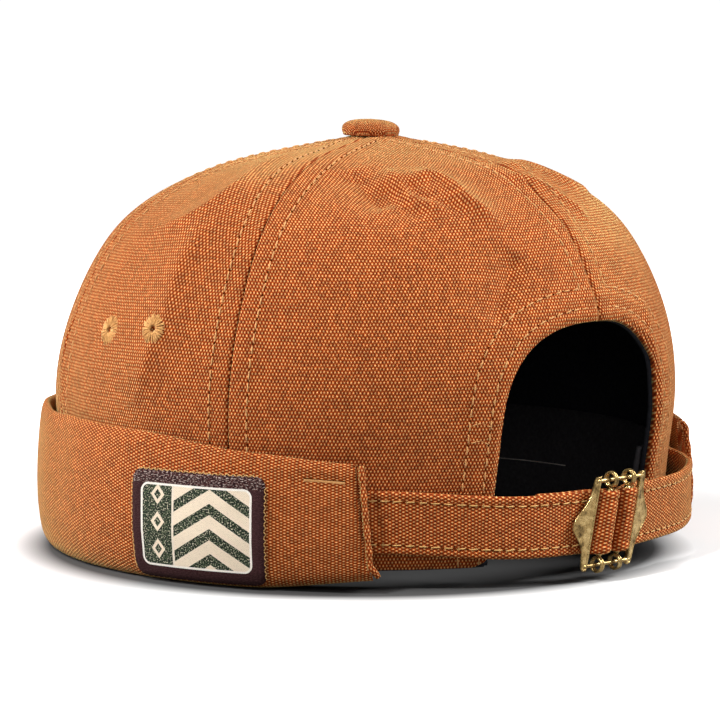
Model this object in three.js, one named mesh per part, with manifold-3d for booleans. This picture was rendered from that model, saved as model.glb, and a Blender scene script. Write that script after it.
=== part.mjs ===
// Docker cap: a brimless canvas cap of six panels with a turned-up cuff, an arched opening at the back and
// a two-part strap with a brass buckle across it. Millimetres, +Z up. The front is -Y, the opening is +Y and
// the wearer's left is +X. Angles round the crown are called turns: 0 at +X, 90 at the back.
import * as THREE from 'three';
import { mergeVertices } from 'three/addons/utils/BufferGeometryUtils.js';
import Module from 'manifold-3d';

const wasm = await Module();
wasm.setup();

// Crown size: half-width, half-length, and how far the top leans towards the back
const HALF_WIDTH = 98;
const HALF_LENGTH = 101.4;
const CROWN_LEAN = 5.6;
const CROWN_PROFILE = [
  { height: 0, reach: 0.966 },
  { height: 25, reach: 0.977 },
  { height: 50, reach: 1.0 },
  { height: 70, reach: 0.972 },
  { height: 90, reach: 0.891 },
  { height: 105, reach: 0.782 },
  { height: 116, reach: 0.617 },
  { height: 124, reach: 0.384 },
  { height: 131, reach: 0.0 },
];
const CROWN_HEIGHT = CROWN_PROFILE.at(-1).height;

// Seams between the panels, as turns on the wearer's left side; the right side mirrors them
const SEAM_BACK = 90;
const SEAM_SIDE_BACK = 19;
const SEAM_SIDE_FRONT = -29.5;
const SEAM_FRONT = -90;
const SEAM_GAP = 0.3;
const CROWN_HOLE_RADIUS = 5;

// Soft folds of the crown: middle, half-length, half-width, slant from level, and rise (negative is a dent)
const FOLDS = [
  { turn: 8, height: 111, long: 32, wide: 11, slant: 70, rise: 2.2 },
  { turn: 5, height: 70, long: 36, wide: 15, slant: 72, rise: 1.4 },
  { turn: 42, height: 115, long: 18, wide: 9, slant: -52, rise: -1.4 },
  { turn: 62, height: 112, long: 18, wide: 9, slant: -55, rise: 1.6 },
  { turn: 97, height: 117, long: 28, wide: 9, slant: -28, rise: 1.5 },
  { turn: 70, height: 88, long: 22, wide: 9, slant: 60, rise: -1.6 },
  { turn: 112, height: 70, long: 22, wide: 8, slant: 90, rise: 1.0 },
];

// Cloth layers, as depths below the crown's outer face
const CANVAS = 1.6;
const LINING_OUTER = 2.9;
const LINING_INNER = 3.9;
const SWEATBAND_OUTER = 4.7;
const SWEATBAND_INNER = 5.9;
const SWEATBAND_TOP = 34;

// Lower edge: the cuff rests on the table, and the back lifts off it between these turns from the back
const HEM = 1.9;
const LINING_HEM = 3.2;
const BACK_LIFT = 3.7;
const LIFT_NEAR = 42;
const LIFT_FAR = 68;

// Arched opening at the back: half-widths, the height where the sides start to curve, and the rise above it
const ARCH_LEFT = 39.2;
const ARCH_RIGHT = 29.5;
const ARCH_SPRING = 42;
const ARCH_RISE = 34.5;
const ARCH_SQUARENESS = 0.78;
const FACING_WIDTH = 12.5;
const FACING_OUTER = 2.8;
const FACING_INNER = 3.8;

// Cuff: its ends as turns from the back, their lean and flare, the drop of its upper edge, and its section
const CUFF_END = 46;
const CUFF_END_SLANT = 2.6;
const CUFF_FLARE = 2.6;
const CUFF_FLARE_REACH = 26;
const CUFF_STATIONS = 56;
const CUFF_TOP = 45.2;
const CUFF_END_DROP = 7.6;
const DROP_NEAR = 36;
const DROP_FAR = 104;
const CUFF_SECTION = [
  { out: -5.2, up: 0.0 },
  { out: 1.2, up: 0.0 },
  { out: 3.5, up: 1.6 },
  { out: 5.1, up: 6.0 },
  { out: 6.0, up: 16.0 },
  { out: 5.7, up: 28.0 },
  { out: 4.6, up: 40.2 },
  { out: 3.6, up: 44.2 },
  { out: 2.3, up: 45.2 },
  { out: 1.1, up: 43.8 },
  { out: 0.8, up: 40.2 },
  { out: 1.2, up: 22.0 },
  { out: 0.6, up: 5.0 },
  { out: 2.2, up: 4.6 },
  { out: 2.8, up: 22.0 },
  { out: 2.5, up: 41.4 },
  { out: 3.1, up: 40.0 },
  { out: 4.2, up: 28.0 },
  { out: 4.4, up: 16.0 },
  { out: 3.4, up: 6.2 },
  { out: 2.2, up: 3.0 },
  { out: 0.6, up: 1.6 },
  { out: -5.2, up: 1.6 },
];
const CUFF_OUTER_ROWS = [1, 2, 3, 4, 5, 6];

// Label on the cuff: turns of its two sides, and the heights of its lower and upper edges
const LABEL_FROM = 2.9;
const LABEL_TO = 27.2;
const LABEL_LOW = 1.6;
const LABEL_HIGH = 33.6;
const LABEL_CLEAR = 0.4;
const LABEL_THICK = 0.9;

// Button on the top, and the eyelets of the left side panel
const BUTTON_RADIUS = 9.2;
const BUTTON_HEIGHT = 4.8;
const EYELET_RADIUS = 4.6;
const EYELET_HOLE = 1.2;
const EYELETS = [
  { name: 'front', turn: -11, height: 72.2 },
  { name: 'back', turn: 2.8, height: 73.4 },
];

// Straps: thickness, lower and upper edges, their lift at the cuff, and the path of each from cuff to buckle
const STRAP_THICK = 1.8;
const STRAP_LOW = 8.6;
const STRAP_HIGH = 27.0;
const STRAP_LIFT = 2.4;
const STRAP_LIFT_NEAR = 18;
const STRAP_LEFT = [
  { turn: 35, out: -0.5 },
  { turn: 41, out: -0.5 },
  { turn: 47, out: -0.2 },
  { turn: 55, out: 1.2 },
  { turn: 64, out: 3.2 },
  { turn: 72, out: 4.5 },
];
const STRAP_RIGHT = [
  { turn: 145, out: -0.5 },
  { turn: 139, out: -0.5 },
  { turn: 133.5, out: -0.1 },
  { turn: 128, out: 3.0 },
  { turn: 121, out: 5.4 },
  { turn: 112, out: 5.6 },
  { turn: 103, out: 4.6 },
];
// The fold of a strap round its bar, as distance along the strap from the buckle's middle and out of its plane
const STRAP_FOLD = [
  { along: 15.5, out: -3.5 },
  { along: 10.5, out: -2.9 },
  { along: 7.8, out: -1.5 },
  { along: 6.0, out: 1.2 },
  { along: 4.7, out: 2.35 },
  { along: 3.2, out: 2.3 },
  { along: 2.05, out: 1.45 },
  { along: 1.6, out: 0.0 },
  { along: 2.05, out: -1.45 },
  { along: 3.2, out: -2.3 },
  { along: 5.0, out: -2.9 },
  { along: 8.0, out: -4.6 },
  { along: 12.0, out: -5.6 },
  { along: 17.0, out: -6.4 },
  { along: 24.0, out: -8.6 },
];
const FOLD_SQUARE_TO_STRAP = 12;

// Buckle: middle, turn on the strap, lean of its plates and bars between the two level rods, and their sizes
const BUCKLE_MIDDLE = new THREE.Vector3(6.0, 108.2, 17.6);
const BUCKLE_YAW = -3.4;
const BUCKLE_LEAN = -13.6;
const ROD_RADIUS = 0.85;
const ROD_HALF_LENGTH = 10;
const ROD_HEIGHT = 12.4;
const PLATE_THICK = 1.1;
const PLATE_INNER = 8.9;
const PLATE_OUTER = 16;
const PLATE_WAIST = 11.4;
const PLATE_HALF_HEIGHT = 13.4;
const PLATE_BEND = 12;
const BAR_AT = 3.9;
const BAR_RADIUS = 1.1;
const EYE_RADIUS = 1.9;
const EYE_WIRE = 0.7;

// Materials
const canvas = new THREE.MeshStandardMaterial({ color: 0xb4692f, roughness: 0.95, metalness: 0 });
const black = new THREE.MeshStandardMaterial({ color: 0x101113, roughness: 0.9, metalness: 0 });
const dark = new THREE.MeshStandardMaterial({ color: 0x1c1b1d, roughness: 0.9, metalness: 0 });
const thread = new THREE.MeshStandardMaterial({ color: 0xd29a5e, roughness: 0.8, metalness: 0 });
const woven = new THREE.MeshStandardMaterial({ color: 0xcfbfa8, roughness: 0.9, metalness: 0 });
const brass = new THREE.MeshStandardMaterial({ color: 0x8f6a3c, roughness: 0.4, metalness: 1 });

const { degToRad, radToDeg, lerp, smoothstep } = THREE.MathUtils;
const LEAN_SLOPE = Math.tan(degToRad(BUCKLE_LEAN));

// Crown surface: a point is a turn and a climb, the distance up along the profile
const profile = new THREE.SplineCurve(
  CROWN_PROFILE.map((row) => new THREE.Vector2(row.reach * HALF_WIDTH, row.height)),
);
profile.arcLengthDivisions = 400;
const CLIMB_TOP = profile.getLength();

function profileAt(climb) {
  return profile.getPointAt(THREE.MathUtils.clamp(climb / CLIMB_TOP, 0, 1));
}

function climbWhere(isBelow) {
  let low = 0;
  let high = CLIMB_TOP;
  for (let step = 0; step < 40; step += 1) {
    const middle = (low + high) / 2;
    if (isBelow(profileAt(middle))) low = middle;
    else high = middle;
  }
  return low;
}

function climbAtHeight(height) {
  return climbWhere((point) => point.y < height);
}

const CLIMB_EDGE = climbWhere((point) => point.y < 60 || point.x > CROWN_HOLE_RADIUS);

function bareCrown(turn, climb) {
  const point = profileAt(climb);
  const angle = degToRad(turn);
  const lean = CROWN_LEAN * (point.y / CROWN_HEIGHT) ** 2;
  const y = (point.x / HALF_WIDTH) * HALF_LENGTH * Math.sin(angle) + lean;
  return new THREE.Vector3(point.x * Math.cos(angle), y, point.y);
}

function crownNormal(turn, climb) {
  const round = bareCrown(turn + 0.5, climb).sub(bareCrown(turn - 0.5, climb));
  const up = bareCrown(turn, climb + 0.5).sub(bareCrown(turn, climb - 0.5));
  return round.cross(up).normalize();
}

function foldRise(turn, climb) {
  let total = 0;
  for (const fold of FOLDS) {
    const foldClimb = climbAtHeight(fold.height);
    const sideways = degToRad(turn - fold.turn) * profileAt(foldClimb).x;
    const upward = climb - foldClimb;
    const slant = degToRad(fold.slant);
    const along = sideways * Math.cos(slant) + upward * Math.sin(slant);
    const across = upward * Math.cos(slant) - sideways * Math.sin(slant);
    total += fold.rise * Math.exp(-((along / fold.long) ** 2) - (across / fold.wide) ** 2);
  }
  return total;
}

function crownPoint(spot, depth) {
  const out = foldRise(spot.turn, spot.climb) - depth;
  return bareCrown(spot.turn, spot.climb).addScaledVector(crownNormal(spot.turn, spot.climb), out);
}

// Lower edge of the crown
function fromBack(turn) {
  const away = Math.abs(turn - SEAM_BACK) % 360;
  return away > 180 ? 360 - away : away;
}

function backLift(turn) {
  return BACK_LIFT * (1 - smoothstep(fromBack(turn), LIFT_NEAR, LIFT_FAR));
}

// Patches: a net of spots with four-cornered cells, turned into a closed wall between two depths
function patch(columns, rows, spotAt) {
  const spots = [];
  const cells = [];
  for (let column = 0; column <= columns; column += 1) {
    for (let row = 0; row <= rows; row += 1) {
      spots.push(spotAt(column / columns, row / rows));
      if (column === columns || row === rows) continue;
      const first = column * (rows + 1) + row;
      cells.push([first, first + rows + 1, first + rows + 2, first + 1]);
    }
  }
  return { spots, cells };
}

function joinPatches(...patches) {
  const spots = [];
  const cells = [];
  const known = new Map();
  for (const part of patches) {
    const numbers = part.spots.map((spot) => {
      const key = `${spot.turn.toFixed(4)} ${spot.climb.toFixed(4)}`;
      if (!known.has(key)) {
        known.set(key, spots.length);
        spots.push(spot);
      }
      return known.get(key);
    });
    part.cells.forEach((cell) => cells.push(cell.map((corner) => numbers[corner])));
  }
  return { spots, cells };
}

function mirrorPatch(part) {
  return {
    spots: part.spots.map((spot) => ({ turn: 2 * SEAM_BACK - spot.turn, climb: spot.climb })),
    cells: part.cells.map((cell) => [...cell].reverse()),
  };
}

function wallGeometry(part, place, outerDepth, innerDepth) {
  const count = part.spots.length;
  const outer = part.spots.map((spot) => place(spot, outerDepth));
  const inner = part.spots.map((spot) => place(spot, innerDepth));
  const index = [];
  const edges = new Map();
  for (const cell of part.cells) {
    const [a, b, c, d] = cell;
    index.push(a, b, c, a, c, d);
    index.push(count + a, count + c, count + b, count + a, count + d, count + c);
    cell.forEach((from, side) => edges.set(`${from} ${cell[(side + 1) % 4]}`, [from, cell[(side + 1) % 4]]));
  }
  for (const [from, to] of edges.values()) {
    if (edges.has(`${to} ${from}`)) continue;
    index.push(from, count + from, to, to, count + from, count + to);
  }
  return new THREE.BufferGeometry().setFromPoints([...outer, ...inner]).setIndex(index);
}

// Crown panels
function seamSlack(climb) {
  return radToDeg(SEAM_GAP / 2 / profileAt(climb).x);
}

function gorePatch(from, to, columns, rows) {
  return patch(columns, rows, (round, up) => {
    const hem = climbAtHeight(HEM + backLift(lerp(from, to, round)));
    const climb = lerp(hem, CLIMB_EDGE, up);
    const slack = seamSlack(climb);
    return { turn: lerp(from + slack, to - slack, round), climb };
  });
}

// A spot on the curved edge of one half of an arch, from its spring (bend 0) to its peak (bend 90)
function archSpot(arch, bend, least) {
  const swing = degToRad(bend);
  const across = arch.width * Math.max(Math.cos(swing), 0) ** ARCH_SQUARENESS;
  const height = ARCH_SPRING + arch.rise * Math.sin(swing) ** ARCH_SQUARENESS;
  const climb = climbAtHeight(height);
  return { turn: radToDeg(Math.acos(Math.max(across, least) / profileAt(climb).x)), climb };
}

function sideOfArch(width, climb) {
  return radToDeg(Math.acos(width / profileAt(climb).x));
}

// The net beside and above one half of the arch, from a seam to the middle of the back
function archPatch({ arch, from, gap, hem, columns, archColumns, lowRows, highRows }) {
  const spring = climbAtHeight(ARCH_SPRING);
  const slackAt = (climb) => radToDeg(gap / 2 / profileAt(climb).x);
  const springTurn = sideOfArch(arch.width, spring);
  const low = patch(columns, lowRows, (round, up) => {
    const lowest = climbAtHeight(hem + backLift(lerp(from, springTurn, round)));
    const climb = lerp(lowest, spring, up);
    return { turn: lerp(from + slackAt(climb), sideOfArch(arch.width, climb), round), climb };
  });
  const high = patch(columns, highRows, (round, up) => {
    const climb = lerp(spring, CLIMB_EDGE, up);
    return { turn: lerp(from + slackAt(climb), springTurn, round), climb };
  });
  const over = patch(archColumns, highRows, (round, up) => {
    const start = archSpot(arch, 90 * round, gap / 2);
    const climb = lerp(start.climb, CLIMB_EDGE, up);
    const seam = SEAM_BACK - slackAt(climb);
    const turn = lerp(start.turn, lerp(springTurn, seam, round), up);
    return { turn: round === 1 ? seam : turn, climb };
  });
  return joinPatches(low, high, over);
}

const LEFT_ARCH = { width: ARCH_LEFT, rise: ARCH_RISE };
const RIGHT_ARCH = { width: ARCH_RIGHT, rise: ARCH_RISE };

function backPanelPatch(arch) {
  return archPatch({
    arch,
    from: SEAM_SIDE_BACK,
    gap: SEAM_GAP,
    hem: HEM,
    columns: 7,
    archColumns: 7,
    lowRows: 3,
    highRows: 11,
  });
}

// Joining and cutting closed shapes
function solidFrom(geometry) {
  const bare = new THREE.BufferGeometry();
  bare.setAttribute('position', geometry.getAttribute('position').clone());
  if (geometry.index) bare.setIndex(geometry.index.clone());
  const merged = mergeVertices(bare, 1e-4);
  return new wasm.Manifold(
    new wasm.Mesh({
      numProp: 3,
      vertProperties: new Float32Array(merged.attributes.position.array),
      triVerts: new Uint32Array(merged.index.array),
    }),
  );
}

function geometryFrom(solid) {
  const net = solid.getMesh();
  const geometry = new THREE.BufferGeometry();
  geometry.setAttribute('position', new THREE.BufferAttribute(new Float32Array(net.vertProperties), 3));
  geometry.setIndex(new THREE.BufferAttribute(new Uint32Array(net.triVerts), 1));
  return geometry;
}

function named(name, geometry, material) {
  const mesh = new THREE.Mesh(geometry, material);
  mesh.name = name;
  return mesh;
}

// Eyelets: where each stands, and the hole that it takes in its panel
function eyeletStand(eyelet, mirrored) {
  const turn = mirrored ? 2 * SEAM_BACK - eyelet.turn : eyelet.turn;
  const spot = { turn, climb: climbAtHeight(eyelet.height) };
  const normal = crownNormal(spot.turn, spot.climb);
  const facing = new THREE.Quaternion().setFromUnitVectors(new THREE.Vector3(0, 1, 0), normal);
  return { foot: crownPoint(spot, 0), normal, facing };
}

function eyeletHole(stand) {
  const hole = new THREE.CylinderGeometry(EYELET_HOLE, EYELET_HOLE, 10, 10);
  hole.applyQuaternion(stand.facing);
  hole.translate(stand.foot.x, stand.foot.y, stand.foot.z);
  return hole;
}

function eyelet(name, stand) {
  const section = [
    new THREE.Vector2(EYELET_HOLE, 0),
    new THREE.Vector2(EYELET_RADIUS - 0.2, 0),
    new THREE.Vector2(EYELET_RADIUS, 0.4),
    new THREE.Vector2(EYELET_RADIUS - 1.1, 0.9),
    new THREE.Vector2(EYELET_HOLE, 0.5),
    new THREE.Vector2(EYELET_HOLE, 0),
  ];
  const mesh = named(name, new THREE.LatheGeometry(section, 14), thread);
  mesh.quaternion.copy(stand.facing);
  mesh.position.copy(stand.foot).addScaledVector(stand.normal, 0.35);
  return mesh;
}

function sidePanel(name, part, mirrored) {
  let solid = solidFrom(wallGeometry(part, crownPoint, 0, CANVAS));
  for (const row of EYELETS) solid = solid.subtract(solidFrom(eyeletHole(eyeletStand(row, mirrored))));
  return named(name, geometryFrom(solid), canvas);
}

// Crown: panels, button and eyelets
function makeCrown() {
  const group = new THREE.Group();
  const side = gorePatch(SEAM_SIDE_FRONT, SEAM_SIDE_BACK, 7, 13);
  const front = gorePatch(SEAM_FRONT, SEAM_SIDE_FRONT, 8, 13);
  const panel = (name, part) => group.add(named(name, wallGeometry(part, crownPoint, 0, CANVAS), canvas));
  panel('panel_back_left', backPanelPatch(LEFT_ARCH));
  panel('panel_back_right', mirrorPatch(backPanelPatch(RIGHT_ARCH)));
  panel('panel_front_left', front);
  panel('panel_front_right', mirrorPatch(front));
  group.add(sidePanel('panel_side_left', side, false));
  group.add(sidePanel('panel_side_right', mirrorPatch(side), true));
  for (const row of EYELETS) {
    group.add(eyelet(`eyelet_left_${row.name}`, eyeletStand(row, false)));
    group.add(eyelet(`eyelet_right_${row.name}`, eyeletStand(row, true)));
  }
  group.add(makeButton());
  return group;
}

function makeButton() {
  const post = CROWN_HOLE_RADIUS - 2.2;
  const outline = [
    new THREE.Vector2(0, -3.5),
    new THREE.Vector2(post, -3.5),
    new THREE.Vector2(post, 0.2),
    new THREE.Vector2(BUTTON_RADIUS - 0.9, -0.7),
    new THREE.Vector2(BUTTON_RADIUS, 0.6),
    new THREE.Vector2(BUTTON_RADIUS - 0.2, 2.2),
    new THREE.Vector2(BUTTON_RADIUS - 1.6, 3.6),
    new THREE.Vector2(BUTTON_RADIUS * 0.5, BUTTON_HEIGHT - 0.5),
    new THREE.Vector2(0, BUTTON_HEIGHT),
  ];
  const geometry = new THREE.LatheGeometry(outline, 22);
  geometry.rotateX(Math.PI / 2);
  const mesh = named('button', geometry, canvas);
  mesh.position.set(0, CROWN_LEAN, CROWN_HEIGHT + 0.2);
  return mesh;
}

// Inside: lining, sweatband and the facing of the arch
function makeInside() {
  const group = new THREE.Group();
  const liningHalf = (arch) =>
    archPatch({
      arch: { width: arch.width + FACING_WIDTH + 0.9, rise: arch.rise + FACING_WIDTH + 0.9 },
      from: SEAM_FRONT,
      gap: 0,
      hem: LINING_HEM,
      columns: 14,
      archColumns: 5,
      lowRows: 2,
      highRows: 9,
    });
  const lining = joinPatches(liningHalf(LEFT_ARCH), wrapFront(mirrorPatch(liningHalf(RIGHT_ARCH))));
  group.add(named('lining', wallGeometry(lining, crownPoint, LINING_OUTER, LINING_INNER), black));
  group.add(named('sweatband', makeSweatband(), dark));
  group.add(named('arch_facing', makeFacing(), black));
  return group;
}

// Brings the far side's last turn to the same number as the near side's first, so that both halves share it
function wrapFront(part) {
  const last = SEAM_FRONT + 360;
  const spots = part.spots.map((spot) => ({
    turn: Math.abs(spot.turn - last) < 1e-6 ? SEAM_FRONT : spot.turn,
    climb: spot.climb,
  }));
  return { spots, cells: part.cells };
}

function makeSweatband() {
  const top = climbAtHeight(SWEATBAND_TOP);
  const rightEnd = 180 - sideOfArch(ARCH_RIGHT + 1, top) - 360;
  const leftEnd = sideOfArch(ARCH_LEFT + 1, top);
  const part = patch(40, 2, (round, up) => {
    const turn = lerp(rightEnd, leftEnd, round);
    return { turn, climb: lerp(climbAtHeight(LINING_HEM + backLift(turn)), top, up) };
  });
  return wallGeometry(part, crownPoint, SWEATBAND_OUTER, SWEATBAND_INNER);
}

function makeFacing() {
  const half = (arch) => {
    const wide = (grow) => ({ width: arch.width + grow, rise: arch.rise + grow });
    const post = patch(2, 1, (up, out) => {
      const width = wide(FACING_WIDTH * out).width;
      const lowest = climbAtHeight(HEM + backLift(sideOfArch(width, 0)));
      const climb = lerp(lowest, climbAtHeight(ARCH_SPRING), up);
      return { turn: sideOfArch(width, climb), climb };
    });
    const curve = patch(9, 1, (round, out) => archSpot(wide(FACING_WIDTH * out), 90 * round, 0));
    return joinPatches(post, curve);
  };
  const part = joinPatches(half(LEFT_ARCH), mirrorPatch(half(RIGHT_ARCH)));
  return wallGeometry(part, crownPoint, FACING_OUTER, FACING_INNER);
}

// Cuff and label: points given by a turn, a distance out from the crown's ellipse and a height
function roundCap(turn, out, height) {
  const angle = degToRad(turn);
  return new THREE.Vector3((HALF_WIDTH + out) * Math.cos(angle), (HALF_LENGTH + out) * Math.sin(angle), height);
}

function cuffHeight(turn, up) {
  const drop = CUFF_END_DROP * (1 - smoothstep(fromBack(turn), DROP_NEAR, DROP_FAR));
  const low = backLift(turn);
  return lerp(low, CUFF_TOP - drop, up / CUFF_TOP);
}

function cuffFlare(turn) {
  const fromRightEnd = (turn - SEAM_BACK - CUFF_END + 720) % 360;
  return CUFF_FLARE * (1 - smoothstep(fromRightEnd, 0, CUFF_FLARE_REACH));
}

function cuffPoint(turn, row) {
  return roundCap(turn, row.out + cuffFlare(turn), cuffHeight(turn, row.up));
}

function sweptGeometry(rings, outline) {
  const size = outline.length;
  const index = [];
  for (let ring = 0; ring + 1 < rings.length; ring += 1) {
    for (let corner = 0; corner < size; corner += 1) {
      const a = ring * size + corner;
      const b = ring * size + ((corner + 1) % size);
      index.push(a, a + size, b, b, a + size, b + size);
    }
  }
  const last = (rings.length - 1) * size;
  for (const [a, b, c] of THREE.ShapeUtils.triangulateShape(outline, [])) {
    index.push(a, b, c);
    index.push(last + a, last + c, last + b);
  }
  return new THREE.BufferGeometry().setFromPoints(rings.flat()).setIndex(index);
}

function makeCuff() {
  const first = SEAM_BACK + CUFF_END - 360;
  const last = SEAM_BACK - CUFF_END;
  const rings = [];
  for (let station = 0; station <= CUFF_STATIONS; station += 1) {
    const ring = CUFF_SECTION.map((row) => {
      const slant = (CUFF_END_SLANT * row.up) / CUFF_TOP;
      return cuffPoint(lerp(first + slant, last - slant, station / CUFF_STATIONS), row);
    });
    rings.push(ring);
  }
  const outline = CUFF_SECTION.map((row) => new THREE.Vector2(row.out, row.up));
  return named('cuff', sweptGeometry(rings, outline), canvas);
}

function cuffFace(up) {
  const rows = CUFF_OUTER_ROWS.map((number) => CUFF_SECTION[number]);
  const above = Math.max(1, rows.findIndex((row) => row.up >= up));
  const [low, high] = [rows[above - 1], rows[above]];
  return lerp(low.out, high.out, (up - low.up) / (high.up - low.up));
}

// On the label a spot's climb is its height, and it follows the cuff's face there
function makeLabel() {
  const heights = [LABEL_LOW, 6, 15, 26, LABEL_HIGH];
  const part = patch(8, heights.length - 1, (round, up) => ({
    turn: lerp(LABEL_FROM, LABEL_TO, round),
    climb: heights[Math.round(up * (heights.length - 1))],
  }));
  const place = (spot, clear) => {
    const low = backLift(spot.turn);
    const share = (spot.climb - low) / (cuffHeight(spot.turn, CUFF_TOP) - low);
    return roundCap(spot.turn, cuffFace(share * CUFF_TOP) + clear, spot.climb);
  };
  return named('label', wallGeometry(part, place, LABEL_CLEAR + LABEL_THICK, LABEL_CLEAR), woven);
}

// Straps: a ribbon along a path round the back, upright at the cuff and leaning with the buckle where it folds.
// The path's third coordinate is the share of the buckle's lean.
function strapPath(route, side) {
  const yaw = degToRad(BUCKLE_YAW);
  const points = route.map((row) => roundCap(row.turn, row.out, 0));
  for (const row of STRAP_FOLD) {
    const along = side * row.along;
    const lean = 1 - smoothstep(row.along, FOLD_SQUARE_TO_STRAP - 5, FOLD_SQUARE_TO_STRAP + 5);
    const x = BUCKLE_MIDDLE.x + along * Math.cos(yaw) - row.out * Math.sin(yaw);
    const y = BUCKLE_MIDDLE.y + along * Math.sin(yaw) + row.out * Math.cos(yaw);
    points.push(new THREE.Vector3(x, y, lean));
  }
  return new THREE.CatmullRomCurve3(points, false, 'catmullrom', 0.5);
}

function strapLift(point) {
  const turn = radToDeg(Math.atan2(point.y / HALF_LENGTH, point.x / HALF_WIDTH));
  return STRAP_LIFT * smoothstep(fromBack(turn), STRAP_LIFT_NEAR, CUFF_END);
}

// On a strap a spot's turn is its share of the path and its climb is its height
function makeStrap(name, route, side) {
  const path = strapPath(route, side);
  const steps = 2 * (route.length + STRAP_FOLD.length - 1);
  const part = patch(steps, 1, (along, up) => ({ turn: along, climb: lerp(STRAP_LOW, STRAP_HIGH, up) }));
  const place = (spot, out) => {
    const middle = path.getPoint(spot.turn);
    const ahead = path.getTangent(spot.turn);
    const across = new THREE.Vector2(ahead.y, -ahead.x).normalize();
    const shift = middle.z * LEAN_SLOPE * (spot.climb - BUCKLE_MIDDLE.z);
    const height = spot.climb + strapLift(middle);
    return new THREE.Vector3(middle.x + across.x * out + shift, middle.y + across.y * out, height);
  };
  return named(name, wallGeometry(part, place, STRAP_THICK / 2, -STRAP_THICK / 2), canvas);
}

// Buckle: drawn flat in its own frame, X along the strap, Y out of it and Z up
function leafPlate() {
  const outline = new THREE.Shape();
  outline.moveTo(PLATE_INNER, -PLATE_HALF_HEIGHT);
  outline.lineTo(PLATE_WAIST - 0.8, -PLATE_HALF_HEIGHT);
  outline.quadraticCurveTo(PLATE_WAIST - 0.4, -PLATE_HALF_HEIGHT * 0.62, PLATE_OUTER, 0);
  outline.quadraticCurveTo(PLATE_WAIST - 0.4, PLATE_HALF_HEIGHT * 0.62, PLATE_WAIST - 0.8, PLATE_HALF_HEIGHT);
  outline.lineTo(PLATE_INNER, PLATE_HALF_HEIGHT);
  outline.closePath();
  const cut = { depth: PLATE_THICK, bevelEnabled: false, curveSegments: 6 };
  const geometry = new THREE.ExtrudeGeometry(outline, cut);
  geometry.rotateX(Math.PI / 2);
  geometry.translate(-PLATE_INNER, PLATE_THICK / 2, 0);
  geometry.rotateZ(degToRad(-PLATE_BEND));
  geometry.translate(PLATE_INNER, 0, 0);
  return geometry;
}

function rod(height) {
  const geometry = new THREE.CylinderGeometry(ROD_RADIUS, ROD_RADIUS, 2 * ROD_HALF_LENGTH, 10);
  geometry.rotateZ(Math.PI / 2);
  geometry.translate(height * LEAN_SLOPE, 0, height);
  return geometry;
}

// The other side's copy of a plain list of triangles, with each triangle turned to face out again
function mirrorAcross(geometry) {
  const mirrored = geometry.clone();
  mirrored.scale(-1, 1, 1);
  const corners = mirrored.getAttribute('position');
  for (let first = 0; first < corners.count; first += 3) {
    const kept = new THREE.Vector3().fromBufferAttribute(corners, first + 1);
    corners.setXYZ(first + 1, corners.getX(first + 2), corners.getY(first + 2), corners.getZ(first + 2));
    corners.setXYZ(first + 2, kept.x, kept.y, kept.z);
  }
  return mirrored;
}

function buckleFrame() {
  const lean = new THREE.Matrix4().makeShear(0, 0, 0, 0, LEAN_SLOPE, 0);
  const plates = [leafPlate(), mirrorAcross(leafPlate())];
  plates.forEach((plate) => plate.applyMatrix4(lean));
  const pieces = [...plates, rod(ROD_HEIGHT), rod(-ROD_HEIGHT)];
  const solid = pieces.map(solidFrom).reduce((whole, next) => whole.add(next));
  return named('buckle_frame', geometryFrom(solid), brass);
}

function buckleBar(name, along) {
  const length = 2 * (ROD_HEIGHT - EYE_RADIUS);
  const shaft = new THREE.CylinderGeometry(BAR_RADIUS, BAR_RADIUS, length, 10);
  shaft.rotateX(Math.PI / 2);
  shaft.applyMatrix4(new THREE.Matrix4().makeShear(0, 0, 0, 0, LEAN_SLOPE, 0));
  const pieces = [shaft];
  for (const end of [-1, 1]) {
    const eye = new THREE.TorusGeometry(EYE_RADIUS, EYE_WIRE, 7, 14);
    eye.rotateY(Math.PI / 2);
    eye.translate(end * ROD_HEIGHT * LEAN_SLOPE, 0, end * ROD_HEIGHT);
    pieces.push(eye);
  }
  const solid = pieces.map(solidFrom).reduce((whole, next) => whole.add(next));
  const mesh = named(name, geometryFrom(solid), brass);
  mesh.position.x = along;
  return mesh;
}

function makeClosure() {
  const group = new THREE.Group();
  group.add(makeStrap('strap_left', STRAP_LEFT, 1));
  group.add(makeStrap('strap_right', STRAP_RIGHT, -1));
  const buckle = new THREE.Group();
  buckle.position.copy(BUCKLE_MIDDLE);
  buckle.rotation.z = degToRad(BUCKLE_YAW);
  buckle.add(buckleFrame());
  buckle.add(buckleBar('buckle_bar_left', BAR_AT));
  buckle.add(buckleBar('buckle_bar_right', -BAR_AT));
  group.add(buckle);
  return group;
}

// The whole cap, moved so that the middle of its box stands over the origin
const cap = new THREE.Group();
cap.add(makeCrown(), makeInside(), makeCuff(), makeLabel(), makeClosure());
const middle = new THREE.Box3().setFromObject(cap, true).getCenter(new THREE.Vector3());
cap.children.forEach((child) => child.position.set(-middle.x, -middle.y, 0));

export default cap;
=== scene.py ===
"""Looks of a canvas docker cap: cloth walls, stitches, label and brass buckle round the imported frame.

Sizes are in millimetres, and become metres when a mesh is made. A place on the crown is a turn (degrees
round it, 0 at the wearer's left and 90 at the back) and a climb (distance up along the profile).
"""

from collections import namedtuple

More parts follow.
